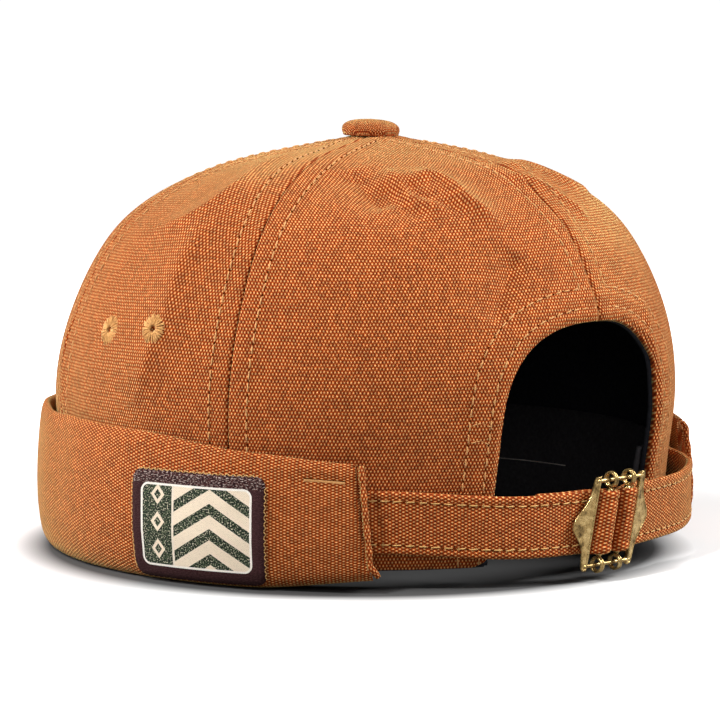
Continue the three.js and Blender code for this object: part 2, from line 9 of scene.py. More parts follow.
import bpy
import numpy as np
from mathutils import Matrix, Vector


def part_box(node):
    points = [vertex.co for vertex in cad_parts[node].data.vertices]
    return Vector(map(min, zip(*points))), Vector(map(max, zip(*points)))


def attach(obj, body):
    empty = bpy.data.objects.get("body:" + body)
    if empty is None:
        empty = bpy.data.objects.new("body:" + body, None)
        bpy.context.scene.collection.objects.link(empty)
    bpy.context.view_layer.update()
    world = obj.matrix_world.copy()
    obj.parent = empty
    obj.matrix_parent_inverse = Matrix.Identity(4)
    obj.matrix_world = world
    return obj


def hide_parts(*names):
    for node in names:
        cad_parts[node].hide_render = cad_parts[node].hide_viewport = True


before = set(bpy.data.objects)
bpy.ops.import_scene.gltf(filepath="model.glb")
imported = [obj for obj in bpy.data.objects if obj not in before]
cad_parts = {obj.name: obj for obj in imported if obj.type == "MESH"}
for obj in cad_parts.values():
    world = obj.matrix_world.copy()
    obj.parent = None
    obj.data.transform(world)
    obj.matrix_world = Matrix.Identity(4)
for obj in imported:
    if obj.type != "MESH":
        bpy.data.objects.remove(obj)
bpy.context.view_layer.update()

MM = 0.001
RANDOM = np.random.default_rng(11)

# Crown: half-width, half-length, lean of the top towards the back, and profile as height and share of reach
HALF_WIDTH = 98.0
HALF_LENGTH = 101.4
CROWN_LEAN = 5.6
CROWN_PROFILE = [
    (0, 0.966), (25, 0.977), (50, 1.0), (70, 0.972), (90, 0.891),
    (105, 0.782), (116, 0.617), (124, 0.384), (131, 0.0),
]
CROWN_HEIGHT = CROWN_PROFILE[-1][0]
CROWN_HOLE_RADIUS = 5.0

# Seams on the wearer's left, mirrored on the right
SEAM_BACK = 90.0
SEAM_SIDE_BACK = 19.0
SEAM_SIDE_FRONT = -29.5
SEAM_FRONT = -90.0
SEAM_GAP = 0.3
SEAM_ROW = 6.0

# Folds of the crown: middle, half-length, half-width, slant from level, and rise (negative is a dent)
Fold = namedtuple("Fold", "turn height long wide slant rise")
FOLDS = [
    Fold(8, 111, 32, 11, 70, 2.2),
    Fold(5, 70, 36, 15, 72, 1.4),
    Fold(42, 115, 18, 9, -52, -1.4),
    Fold(62, 112, 18, 9, -55, 1.6),
    Fold(97, 117, 28, 9, -28, 1.5),
    Fold(70, 88, 22, 9, 60, -1.6),
    Fold(112, 70, 22, 8, 90, 1.0),
]

# Creases of the cloth: path as turns and heights, rise (negative is a dent), and width on either side
Crease = namedtuple("Crease", "path rise left right")
CREASES = [
    Crease([(47, 121.2), (49.6, 117.3), (52.4, 113.1), (56.6, 110.3), (60.1, 108.1)], 2.1, 2.6, 3.2),
    Crease(
        [(53.5, 115.9), (56.5, 117.3), (60, 117.8), (64, 114.7), (65.4, 110.8), (69, 107), (73, 103.8)],
        2.7, 4.0, 2.6,
    ),
    Crease([(45.2, 117.9), (48.1, 113.7), (51.1, 110.4), (55, 107.6)], -1.5, 3.0, 4.0),
    Crease([(52, 117.9), (53.3, 114.5), (56.3, 112.6), (60.4, 110.6), (64.9, 106.6)], -1.7, 2.6, 2.6),
    Crease([(34, 121.2), (39.5, 117.6), (43.1, 114), (46.5, 110.7)], -2, 4.0, 5.0),
    Crease([(89.4, 122), (95, 119.4), (105.5, 117.8), (110.5, 114.5), (118.6, 111.2)], 2.1, 2.2, 3.2),
    Crease([(88, 123.2), (96, 121.4), (107, 120), (114.2, 116)], -1.8, 2.6, 2.2),
    Crease([(83.3, 117.8), (92.7, 115.2), (98.5, 110), (100.5, 104.6)], 1.8, 2.4, 3.2),
    Crease([(131, 123), (125, 117), (114, 110.5)], 1.4, 3.0, 3.0),
    Crease(
        [(-7.7, 125.6), (0.6, 122.6), (5, 115), (4.6, 109.6), (-0.8, 104), (-8.7, 102), (-24, 101)],
        2.6, 5.0, 11.0,
    ),
    Crease(
        [(7.9, 107.7), (5.5, 98.6), (4.2, 89), (4.6, 77.3), (2.8, 66.4), (1.4, 58.6), (-1.3, 46)],
        2.3, 5.0, 12.0,
    ),
    Crease([(74.2, 97.6), (71.3, 91.6), (67.6, 82.4), (65.9, 76.8)], -2, 2.6, 5.0),
    Crease([(105.5, 84), (105.5, 70), (105.3, 54)], 0.91, 3.0, 3.0),
    Crease([(-30.5, 74), (-29.5, 60), (-27, 42)], 0.91, 2.5, 4.0),
]

# Rounding of the creases' crests
CREST = 0.6

# Cloth: thickness, depths of the inner layers below the crown's outer face, heights of their edges,
# and lift of the hem at the back, with the degrees from the back at which it starts to fall and ends
CANVAS = 1.6
LINING_OUTER = 2.9
LINING_INNER = 3.9
SWEATBAND_OUTER = 4.7
SWEATBAND_INNER = 5.9
SWEATBAND_TOP = 34.0
SWEATBAND_LINE = 15.3
SWEATBAND_HEM = 0.9
HEM = 1.9
LINING_HEM = 3.2
BACK_LIFT = 3.7
LIFT_NEAR = 42.0
LIFT_FAR = 68.0

# Arched opening
ARCH_LEFT = 39.2
ARCH_RIGHT = 29.5
ARCH_SPRING = 42.0
ARCH_RISE = 34.5
ARCH_SQUARENESS = 0.78
ARCH_ROWS = (3.7, 9.4)
ARCH_CORNER = 7.0
ARCH_TACKS = (47.4, 42.2)
ARCH_HALVES = ((ARCH_LEFT, False), (ARCH_RIGHT, True))
FACING_WIDTH = 12.5
FACING_OUTER = 2.1
FACING_INNER = 3.7

# Cuff: ends as turns from the back, lean and flare of the ends, drop of the upper edge towards the back,
# and section as distance out from the crown's ellipse and height
CUFF_END = 46.0
CUFF_END_SLANT = 2.6
CUFF_FLARE = 2.6
CUFF_FLARE_REACH = 26.0
LEFT_FLARE = 1.8
LEFT_FLARE_REACH = 16.0
CUFF_TOP = 45.2
CUFF_END_DROP = 7.6
DROP_NEAR = 36.0
DROP_FAR = 104.0
CUFF_SECTION = [
    (-5.2, 0.0), (1.2, 0.0), (3.5, 1.6), (5.1, 6.0), (6.0, 16.0), (5.7, 28.0), (4.6, 40.2), (3.6, 44.2),
    (2.3, 45.2), (1.1, 43.8), (0.8, 40.2), (1.2, 22.0), (0.6, 5.0), (2.2, 4.6), (2.8, 22.0), (2.5, 41.4),
    (3.1, 40.0), (4.2, 28.0), (4.4, 16.0), (3.4, 6.2), (2.2, 3.0), (0.6, 1.6), (-5.2, 1.6),
]
CUFF_FACE = CUFF_SECTION[1:7]
TACK_TURNS = (33.4, 39.8)
TACK_UP = 37.9
TACK_HALF_WIDTH = 0.62
LIP_BEYOND = 0.95
LIP_RADIUS = 0.95

# Label on the cuff
LABEL_FROM = 2.9
LABEL_TO = 27.2
LABEL_LOW = 1.4
LABEL_HIGH = 33.6
LABEL_CLEAR = 0.25
LABEL_THICK = 0.9
LABEL_CORNER = 3.2
LABEL_BORDER = 3.7

# Button, and eyelets as turn and height, with the first angle, radius, length, count and lift of each
# of their two rings of stitches
BUTTON_RADIUS = 9.2
BUTTON_HEIGHT = 4.8
BUTTON_SHIFT = (1.1, -1.2)
EYELET_HOLE = 1.0
EYELETS = {"front": (-11.0, 72.2), "back": (2.8, 73.4)}
EYELET_RINGS = ((0.0, 2.85, 3.5, 38, 0.2), (0.1, 2.5, 2.9, 22, 0.5))

# Straps: paths from the cuff as turn and distance out, and the fold round a bar as distance along and out
STRAP_THICK = 1.8
STRAP_LOW = 8.6
STRAP_HIGH = 27.0
STRAP_LIFT = 2.4
STRAP_LIFT_NEAR = 18.0
STRAP_ROW = 2.8
STRAP_LEFT = [(35, -0.5), (41, -0.5), (47, -0.2), (55, 1.2), (64, 3.2), (72, 4.5)]
STRAP_RIGHT = [(145, -0.5), (139, -0.5), (133.5, -0.1), (128, 3.0), (121, 5.4), (112, 5.6), (103, 4.6)]
STRAP_FOLD = [
    (15.5, -3.5), (10.5, -2.9), (7.8, -1.5), (6.0, 1.2), (4.7, 2.35), (3.2, 2.3), (2.05, 1.45), (1.6, 0.0),
    (2.05, -1.45), (3.2, -2.3), (5.0, -2.9), (8.0, -4.6), (12.0, -5.6), (17.0, -6.4), (24.0, -8.6),
]
FOLD_SQUARE_TO_STRAP = 12.0

# Buckle
BUCKLE_MIDDLE = (6.0, 108.2, 17.6)
BUCKLE_YAW = -3.4
LEAN_SLOPE = np.tan(np.radians(-13.6))
ROD_RADIUS = 0.62
ROD_HALF_LENGTH = 10.6
ROD_HEIGHT = 12.4
PLATE_THICK = 1.1
PLATE_INNER = 8.9
PLATE_OUTER = 16.0
PLATE_WAIST = 11.4
PLATE_HALF_HEIGHT = 13.4
PLATE_BEND = 12.0
PLATE_RIM = 0.34
BAR_AT = 3.9
BAR_RADIUS = 1.1
EYE_RADIUS = 2.1
EYE_WIRE = 0.42
EYE_APART = 0.42

# Stitches: pitch, length and radius in a seam, and in the short tacks beside the arch
STITCH = (3.7, 2.6, 0.22)
TACK_STITCH = (1.5, 1.6, 0.17)

# Weave: distance between dots in a row, and between rows
DOT_PITCH = 1.03
ROW_PITCH = 1.0

# Camera: direction in plan and height angle, distance from the aim, lens, and the frame's middle off the aim
CAMERA_TURN = 43.62
CAMERA_RISE = 5.504
CAMERA_DISTANCE = 885.0
CAMERA_AIM = (0.0, 0.0, 60.0)
FRAME_RIGHT = -0.98
FRAME_UP = -2.35
LENS = 136.53

# Lamps: place to the right of the cap's middle, up and towards the camera, width, and watts
LAMPS = {
    "key": (-579, 1150, 689, 220, 18.4),
    "front": (60, 420, 900, 700, 2.0),
    "left": (-900, 400, -60, 600, 10.6),
    "right": (880, 640, 60, 600, 17.0),
}

# Strength of the dome of light at the horizon and overhead and of the backdrop, tone of the floor as the
# cap sees it, and the shade under the cap: its shift, its edges as shares of the crown, and its tone
DOME_LOW = 0.01
DOME_HIGH = 0.04
BACKDROP = 1.05
FLOOR_BOUNCE = 0.27
SHADE_SHIFT = (10.0, 4.0, 0.0)
SHADE_FROM = 0.97
SHADE_TO = 1.10
SHADE_TONE = 0.07

button_low, button_high = map(np.array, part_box("button"))
AXIS = np.array((button_low + button_high) / 2 / MM) * (1, 1, 0) - (0, CROWN_LEAN, 0)


# Curves and steps
def catmull_rom(points, steps):
    """A smooth curve through a row of points, with that many steps between two of them."""
    points = np.asarray(points, float)
    padded = np.vstack([points[:1], points, points[-1:]])
    share = np.linspace(0, 1, steps, endpoint=False)[:, None]
    parts = []
    for before, start, end, after in zip(padded, padded[1:], padded[2:], padded[3:]):
        out, into = (end - before) / 2, (after - start) / 2
        bend = 3 * (end - start) - 2 * out - into
        twist = 2 * (start - end) + out + into
        parts.append(start + out * share + bend * share**2 + twist * share**3)
    return np.vstack(parts + [points[-1:]])


def run_lengths(points):
    return np.concatenate([[0], np.cumsum(np.linalg.norm(np.diff(points, axis=0), axis=1))])


def unit(vectors):
    return vectors / np.linalg.norm(vectors, axis=-1, keepdims=True)


def smooth_step(value, low, high):
    share = np.clip((value - low) / (high - low), 0, 1)
    return share * share * (3 - 2 * share)


def bump(distance, width):
    return np.exp(-((distance / width) ** 2))


def graded(length, fine, coarse):
    """Shares from 0 to 1 of a length, with fine steps at both ends and coarse ones between."""
    half = [0.0]
    while half[-1] < length / 2:
        half.append(half[-1] + min(coarse, fine + 0.22 * half[-1]))
    half = np.array(half) / half[-1] / 2
    return np.concatenate([half, 1 - half[-2::-1]])


def round_corners(outline, times):
    """Cuts the corners of a closed outline that many times."""
    points = np.asarray(outline, float)
    for _ in range(times):
        following = np.roll(points, -1, axis=0)
        points = np.stack([0.75 * points + 0.25 * following, 0.25 * points + 0.75 * following], 1)
        points = points.reshape(-1, 2)
    return points


# Crown surface
PROFILE = catmull_rom([(reach * HALF_WIDTH, height) for height, reach in CROWN_PROFILE], 120)
PROFILE_CLIMBS = run_lengths(PROFILE)


def radius_at(climb):
    return np.interp(climb, PROFILE_CLIMBS, PROFILE[:, 0])


def climb_at_height(height):
    return np.interp(height, PROFILE[:, 1], PROFILE_CLIMBS)


def climb_at_radius(radius):
    """The climb, near the top, at which the crown has narrowed to a radius."""
    return PROFILE_CLIMBS[np.argmax((PROFILE[:, 1] > CROWN_HEIGHT / 2) & (PROFILE[:, 0] < radius))]


CLIMB_EDGE = climb_at_radius(CROWN_HOLE_RADIUS)


def bare_crown(turn, climb):
    angle = np.radians(turn)
    radius = radius_at(climb)
    height = np.interp(climb, PROFILE_CLIMBS, PROFILE[:, 1])
    lean = CROWN_LEAN * (height / CROWN_HEIGHT) ** 2
    y = radius * HALF_LENGTH / HALF_WIDTH * np.sin(angle) + lean
    return np.stack([radius * np.cos(angle), y, height], -1)


def crown_normal(turn, climb):
    round_it = bare_crown(turn + 0.5, climb) - bare_crown(turn - 0.5, climb)
    upward = bare_crown(turn, climb + 1.0) - bare_crown(turn, climb - 1.0)
    return unit(np.cross(round_it, upward))


def fold_rise(turn, climb):
    total = np.zeros(np.broadcast(turn, climb).shape)
    for fold in FOLDS:
        fold_climb = climb_at_height(fold.height)
        sideways = np.radians(turn - fold.turn) * radius_at(fold_climb)
        upward = climb - fold_climb
        slant = np.radians(fold.slant)
        along = sideways * np.cos(slant) + upward * np.sin(slant)
        across = upward * np.cos(slant) - sideways * np.sin(slant)
        total += fold.rise * bump(along, fold.long) * bump(across, fold.wide)
    return total


def crease_rise(turn, climb):
    """Rise of the creases, sharp along each path, falling away at its sides and fading at its ends."""
    total = np.zeros(len(turn))
    for crease in CREASES:
        path = catmull_rom([(place, climb_at_height(height)) for place, height in crease.path], 12)
        middle = path[:, 0].mean()
        line = np.stack([np.radians(path[:, 0] - middle) * radius_at(path[:, 1]), path[:, 1]], -1)
        spots = np.stack([np.radians(turn - middle) * radius_at(climb), climb], -1)
        nearest = np.full(len(spots), np.inf)
        number = np.zeros(len(spots), int)
        for index, place in enumerate(line):
            distance = np.hypot(*(spots - place).T)
            number = np.where(distance < nearest, index, number)
            nearest = np.minimum(nearest, distance)
        ahead = unit(np.gradient(line, axis=0))[number]
        aside = spots - line[number]
        leftward = ahead[:, 0] * aside[:, 1] - ahead[:, 1] * aside[:, 0]
        at_end = (number == 0) | (number == len(line) - 1)
        beyond = np.where(at_end, (ahead * aside).sum(1), 0)
        width = np.where(leftward > 0, crease.left, crease.right)
        share = number / (len(line) - 1)
        fade = smooth_step(share, 0, 0.25) * (1 - smooth_step(share, 0.75, 1))
        total += crease.rise * fade * np.exp(-(np.hypot(np.hypot(leftward, beyond), CREST) - CREST) / width)
    return total


def ripple(turn, climb):
    """Faint waves that keep the cloth from lying perfectly even."""
    angle = np.radians(turn)
    waves = np.sin(9 * angle + climb / 19) + np.sin(14 * angle - climb / 13 + 2.0)
    waves = waves + np.sin(5 * angle + climb / 8.5)
    return 0.1 * waves * radius_at(climb) / HALF_WIDTH


def crown_point(turn, climb, out):
    rise = fold_rise(turn, climb) + crease_rise(turn, climb) + ripple(turn, climb) + out
    return bare_crown(turn, climb) + crown_normal(turn, climb) * rise[..., None]


def from_back(turn):
    away = np.abs(turn - SEAM_BACK) % 360
    return np.minimum(away, 360 - away)


def back_lift(turn):
    return BACK_LIFT * (1 - smooth_step(from_back(turn), LIFT_NEAR, LIFT_FAR))


# Meshes
def grid(columns, rows):
    """Two flat arrays of shares for a net with these column and row shares, and its four-cornered cells."""
    across, up = np.meshgrid(columns, rows, indexing="ij")
    number = np.arange(across.size).reshape(across.shape)
    cells = np.stack([number[:-1, :-1], number[1:, :-1], number[1:, 1:], number[:-1, 1:]], -1)
    return across.ravel(), up.ravel(), cells.reshape(-1, 4)


def weld(*nets):
    """Joins nets of turns and climbs where their places are the same."""
    places = np.concatenate([np.stack([turn, climb], -1) for turn, climb, _ in nets])
    starts = np.cumsum([0] + [len(turn) for turn, _, _ in nets])
    cells = np.concatenate([cells + start for (_, _, cells), start in zip(nets, starts)])
    _, first, number = np.unique(np.round(places, 4), axis=0, return_index=True, return_inverse=True)
    kept = places[first]
    return kept[:, 0], kept[:, 1], number.ravel()[cells]


def wall(outer, inner, cells):
    """Points and faces of a closed wall between two layers of points over the same cells."""
    count = len(outer)
    faces = [tuple(cell) for cell in cells] + [tuple(count + cell[::-1]) for cell in cells]
    starts, ends = cells.ravel(), np.roll(cells, -1, axis=1).ravel()
    edges = set(zip(starts.tolist(), ends.tolist()))
    for start, end in edges:
        if (end, start) not in edges:
            faces.append((start, count + start, count + end, end))
    return np.vstack([outer, inner]), faces


def sweep(rings, closed=False):
    """Faces of a tube through rings of points, capped at both ends unless the rings close up."""
    count, size = rings.shape[:2]
    faces = []
    for ring in range(count if closed else count - 1):
        here, there = ring * size, (ring + 1) % count * size
        for corner in range(size):
            after = (corner + 1) % size
            faces.append((here + corner, there + corner, there + after, here + after))
    if not closed:
        faces.append(tuple(range(size)))
        faces.append(tuple(range(count * size - 1, (count - 1) * size - 1, -1)))
    return rings.reshape(-1, 3), faces


def piece(name, shape, material, uv=None):
    """A mesh object from points in millimetres about the cap's axis, in place of the node of its name."""
    points, faces = shape
    mesh = bpy.data.meshes.new(name)
    mesh.from_pydata(((points + AXIS) * MM).tolist(), [], faces)
    mesh.polygons.foreach_set("use_smooth", np.array([len(face) < 20 for face in faces]))
    if uv is not None:
        corners = np.zeros(len(mesh.loops), int)
        mesh.loops.foreach_get("vertex_index", corners)
        layer = mesh.uv_layers.new(name="Cloth")
        layer.data.foreach_set("uv", np.asarray(uv, np.float32)[corners].ravel())
    mesh.materials.append(material)
    made = bpy.data.objects.new(name, mesh)
    bpy.context.scene.collection.objects.link(made)
    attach(made, "root")
    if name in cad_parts:
        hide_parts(name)


# Materials
class Value:
    """A number in a node tree, whose arithmetic adds math nodes."""

    def __init__(self, shader, socket):
        self.shader = shader
        self.socket = socket

    def __add__(self, other):
        return self.shader.math("ADD", self, other)

    def __sub__(self, other):
        return self.shader.math("SUBTRACT", self, other)

    def __mul__(self, other):
        return self.shader.math("MULTIPLY", self, other)

    def __mod__(self, other):
        return self.shader.math("FLOORED_MODULO", self, other)

    def __lt__(self, other):
        return self.shader.math("LESS_THAN", self, other)

    def __gt__(self, other):
        return self.shader.math("GREATER_THAN", self, other)

    def __abs__(self):
        return self.shader.math("ABSOLUTE", self)


class Shader:
    """The node tree of a material or world, with short ways to add a node and link it."""

    def __init__(self, owner, surface="Principled BSDF"):
        owner.use_nodes = True
        self.owner = owner
        self.tree = owner.node_tree
        self.surface = self.tree.nodes[surface]

    def put(self, socket, value):
        if isinstance(value, Value):
            value = value.socket
        if isinstance(value, bpy.types.NodeSocket):
            self.tree.links.new(value, socket)
        else:
            socket.default_value = (*value, 1) if socket.type == "RGBA" else value

    def node(self, kind, inputs=(), output=0, **settings):
        """Adds a node and gives one of its outputs."""
        made = self.tree.nodes.new("ShaderNode" + kind)
        for key, value in settings.items():
            setattr(made, key, value)
        for place, value in dict(inputs).items():
            self.put(made.inputs[place], value)
        return made.outputs[output]

    def math(self, operation, first, second=0.0):
        return Value(self, self.node("Math", {0: first, 1: second}, operation=operation))

    def vector(self, operation, first, second=(0, 0, 0)):
        return self.node("VectorMath", {0: first, 1: second}, operation=operation)

    def length(self, vector):
        return Value(self, self.node("VectorMath", {0: vector}, "Value", operation="LENGTH"))

    def split(self, vector):
        return [Value(self, socket) for socket in self.node("SeparateXYZ", {0: vector}).node.outputs]

    def cloth(self):
        return self.node("UVMap", output="UV", uv_map="Cloth")

    def place(self):
        return self.node("TexCoord", output="Object")

    def mix(self, share, first, second, blend="MIX"):
        inputs = {0: share, 6: first, 7: second}
        return self.node("Mix", inputs, 2, data_type="RGBA", blend_type=blend)

    def noise(self, place, scale, detail=2.0, roughness=0.5):
        inputs = {"Vector": place, "Scale": scale, "Detail": detail, "Roughness": roughness}
        return Value(self, self.node("TexNoise", inputs, "Fac"))

    def ramp(self, value, *stops):
        made = self.node("ValToRGB", {"Fac": value})
        band = made.node.color_ramp
        while len(band.elements) < len(stops):
            band.elements.new(0.5)
        for element, (position, colour) in zip(band.elements, stops):
            element.position = position
            element.color = (*colour, 1)
        return made

    def bump(self, height, strength, distance):
        return self.node("Bump", {"Height": height, "Strength": strength, "Distance": distance})

    def finish(self, **values):
        for name, value in values.items():
            self.put(self.surface.inputs[name.replace("_", " ")], value)
        return self.owner


def new_shader(name):
    return Shader(bpy.data.materials.new(name))


def make_canvas():
    """Plain-weave canvas: staggered light dots on pits darkened with painted shade, with uneven yarns."""
    shader = new_shader("canvas")
    cloth = shader.cloth()
    drift = shader.node("TexNoise", {"Vector": cloth, "Scale": 0.35, "Detail": 2.0}, "Color")
    drift = shader.vector("MULTIPLY", shader.vector("SUBTRACT", drift, (0.5, 0.5, 0.5)), (0.55, 0.55, 0.0))
    across, up, _ = shader.split(shader.vector("ADD", cloth, drift))
    dots = shader.math("COSINE", across * (2 * np.pi / DOT_PITCH))
    row = shader.math("COSINE", up * (np.pi / ROW_PITCH))
    weave = (dots * row + row * row * 0.4 + 0.6) * 0.5
    line = shader.math("FLOOR", up * (1 / ROW_PITCH) + 0.5)
    column = shader.math("FLOOR", across * (1 / DOT_PITCH) + line % 2.0 * 0.5 + 0.5)
    dot = shader.node("CombineXYZ", {"X": column, "Y": line})
    own_tone = Value(shader, shader.node("TexWhiteNoise", {"Vector": dot}, "Value", noise_dimensions="2D"))
    yarn = shader.noise(shader.vector("MULTIPLY", cloth, (0.06, 1.0, 0.0)), 1.0, 1.0)
    yarn = yarn + shader.noise(shader.vector("MULTIPLY", cloth, (1.0, 0.06, 0.0)), 1.0, 1.0)
    patches = shader.noise(cloth, 0.03, 3.0)
    speck = shader.noise(cloth, 1.4)
    light = yarn * 0.24 + patches * 0.2 + speck * 0.6 + own_tone * 0.5 + 0.16
    # The ramp's dark low end paints shade into the pits between the yarns.
    colour = shader.ramp(
        weave,
        (0.0, (0.090, 0.0085, 0.0005)),
        (0.36, (0.27, 0.040, 0.0034)),
        (0.66, (0.50, 0.158, 0.0330)),
        (1.0, (0.63, 0.405, 0.182)),
    )
    return shader.finish(
        Base_Color=shader.mix(1.0, colour, light, "MULTIPLY"),
        Roughness=0.92,
        Specular_IOR_Level=0.15,
        Sheen_Tint=(0.96, 0.95, 0.36),
        Sheen_Weight=0.36,
        Sheen_Roughness=0.3,
        Normal=shader.bump(speck * 0.35 + weave, 0.75, 0.0003),
    )


def make_dark_cloth(name, colour, ribs):
    """Black cloth with a fine twill and a little lint."""
    shader = new_shader(name)
    x, _, z = shader.split(shader.place())
    twill = shader.math("SINE", (z + x * 0.6) * ribs)
    lint = shader.noise(shader.place(), 900.0, 3.0)
    return shader.finish(
        Base_Color=shader.ramp(lint, (0.3, [0.6 * part for part in colour]), (0.75, colour)),
        Roughness=0.9,
        Specular_IOR_Level=0.1,
        Normal=shader.bump(twill + lint, 0.15, 0.0002),
    )


def make_thread(name, dark, light, sheen=0.2):
    """Twisted sewing thread with a soft shine."""
    shader = new_shader(name)
    twist = shader.noise(shader.place(), 1500.0)
    share = twist * 0.7 + shader.noise(shader.place(), 60.0) * 0.3
    return shader.finish(
        Base_Color=shader.mix(share, dark, light),
        Roughness=0.6,
        Specular_IOR_Level=sheen,
        Sheen_Weight=sheen,
        Normal=shader.bump(twist, 0.4, 0.0002),
    )


def make_brass(name, dark, middle, bright):
    """Antique brass, with its patina in patches and a hammered grain."""
    shader = new_shader(name)
    patina = shader.noise(shader.place(), 330.0, 6.0, 0.7)
    return shader.finish(
        Base_Color=shader.ramp(patina, (0.33, dark), (0.5, middle), (0.68, bright)),
        Metallic=0.75,
        Roughness=patina * -0.25 + 0.40,
        Normal=shader.bump(shader.noise(shader.place(), 1800.0, 3.0), 0.2, 0.0002),
    )


def make_label_cloth(width, height):
    """Woven patch: dark border, pale outline, a dark column of diamonds and chevrons on a cream field."""
    shader = new_shader("label_weave")
    cloth = shader.cloth()
    across, up, _ = shader.split(cloth)
    corner = 2.6
    core = (width / 2 - LABEL_BORDER - corner, height / 2 - LABEL_BORDER - corner, 0)
    reach = shader.vector("ABSOLUTE", shader.vector("SUBTRACT", cloth, (width / 2, height / 2, 0)))
    past = shader.length(shader.vector("MAXIMUM", shader.vector("SUBTRACT", reach, core)))
    speckle = shader.noise(cloth, 2.3, 1.0)
    fine = shader.noise(cloth, 4.2, 1.0)
    dark = shader.ramp(
        speckle,
        (0.38, (0.012, 0.013, 0.013)),
        (0.52, (0.022, 0.034, 0.020)),
        (0.59, (0.10, 0.14, 0.07)),
        (0.66, (0.50, 0.43, 0.33)),
    )
    cream = shader.ramp(fine, (0.28, (0.42, 0.33, 0.24)), (0.42, (0.76, 0.63, 0.48)))
    column = 15.0
    margin = 4.4
    step = 8.1
    upward = abs((up - 4.9) % step - step / 2)
    diamond = abs(abs(across - (column + margin) / 2) * 1.25 + upward - 2.3) < 0.75
    gable = abs(across - (column + width - margin) / 2)
    chevron = (gable * 0.62 + up - 5.6) % 7.4 < 3.3
    left_field = shader.mix(diamond, dark, cream)
    right_field = shader.mix(chevron, cream, dark)
    field = shader.mix(across > column, left_field, right_field)
    field = shader.mix(abs(across - column) < 0.35, field, (0.72, 0.62, 0.50))
    pale = shader.ramp(fine, (0.3, (0.62, 0.55, 0.47)), (0.5, (0.86, 0.80, 0.72)))
    weft = shader.noise(shader.vector("MULTIPLY", cloth, (1.3, 3.2, 0.0)), 1.0, 1.0)
    border = shader.ramp(weft, (0.40, (0.030, 0.010, 0.011)), (0.7, (0.062, 0.026, 0.026)))
    flecked = shader.ramp(
        weft,
        (0.45, (0.018, 0.008, 0.009)),
        (0.56, (0.085, 0.026, 0.022)),
        (0.64, (0.34, 0.28, 0.25)),
    )
    border = shader.mix(up > height - 3.9, border, flecked)
    colour = shader.mix(past < corner, border, pale)
    threads = shader.math("SINE", up * (2 * np.pi / 0.55)) * shader.math("SINE", across * (2 * np.pi / 0.7))
    return shader.finish(
        Base_Color=shader.mix(past < corner - 0.65, colour, field),
        Roughness=0.9,
        Specular_IOR_Level=0.1,
        Normal=shader.bump(threads + speckle * 1.5, 0.5, 0.00015),
    )


canvas = make_canvas()
lining_cloth = make_dark_cloth("lining_cloth", (0.030, 0.031, 0.038), 5200.0)
band_cloth = make_dark_cloth("band_cloth", (0.075, 0.070, 0.076), 3100.0)
seam_thread = make_thread("seam_thread", (0.37, 0.145, 0.034), (0.78, 0.42, 0.15))
gold_thread = make_thread("gold_thread", (0.34, 0.16, 0.035), (0.78, 0.47, 0.16))
eyelet_thread = make_thread("eyelet_thread", (0.25, 0.078, 0.011), (0.95, 0.55, 0.20), 0.08)
pale_thread = make_thread("pale_thread", (0.50, 0.44, 0.40), (0.80, 0.72, 0.66))
# Painted shade: dark capsules stand for the shadow inside the needle holes.
hole_shade = make_thread("needle_hole_shade", (0.035, 0.007, 0.001), (0.10, 0.022, 0.003), 0.0)
dark_brass = make_brass("dark_brass", (0.065, 0.034, 0.010), (0.56, 0.37, 0.14), (0.93, 0.68, 0.31))
worn_brass = make_brass("worn_brass", (0.11, 0.070, 0.022), (0.46, 0.31, 0.115), (0.84, 0.63, 0.28))


# Crown panels: nets of turns and climbs on the wearer's left
def slack(climb, gap):
    return np.degrees(gap / 2 / radius_at(climb))


def gore_net(start, end):
    width = np.radians(end - start) * HALF_WIDTH
    across, up, cells = grid(graded(width, 0.4, 1.3), graded(CLIMB_EDGE, 0.5, 1.3))
    hem = climb_at_height(HEM + back_lift(start + (end - start) * across))
    climb = hem + (CLIMB_EDGE - hem) * up
    gap = slack(climb, SEAM_GAP)
    turn = start + gap + (end - start - 2 * gap) * across
    return turn, climb, cells


def side_of_arch(width, climb):
    return np.degrees(np.arccos(width / radius_at(climb)))


def arch_edge(width, rise, bend, least):
    """Turns and climbs along the curve of half an arch, from its spring (bend 0) to its peak (bend 90)."""
    swing = np.radians(bend)
    across = width * np.clip(np.cos(swing), 0, 1) ** ARCH_SQUARENESS
    climb = climb_at_height(ARCH_SPRING + rise * np.sin(swing) ** ARCH_SQUARENESS)
    return np.degrees(np.arccos(np.maximum(across, least) / radius_at(climb))), climb


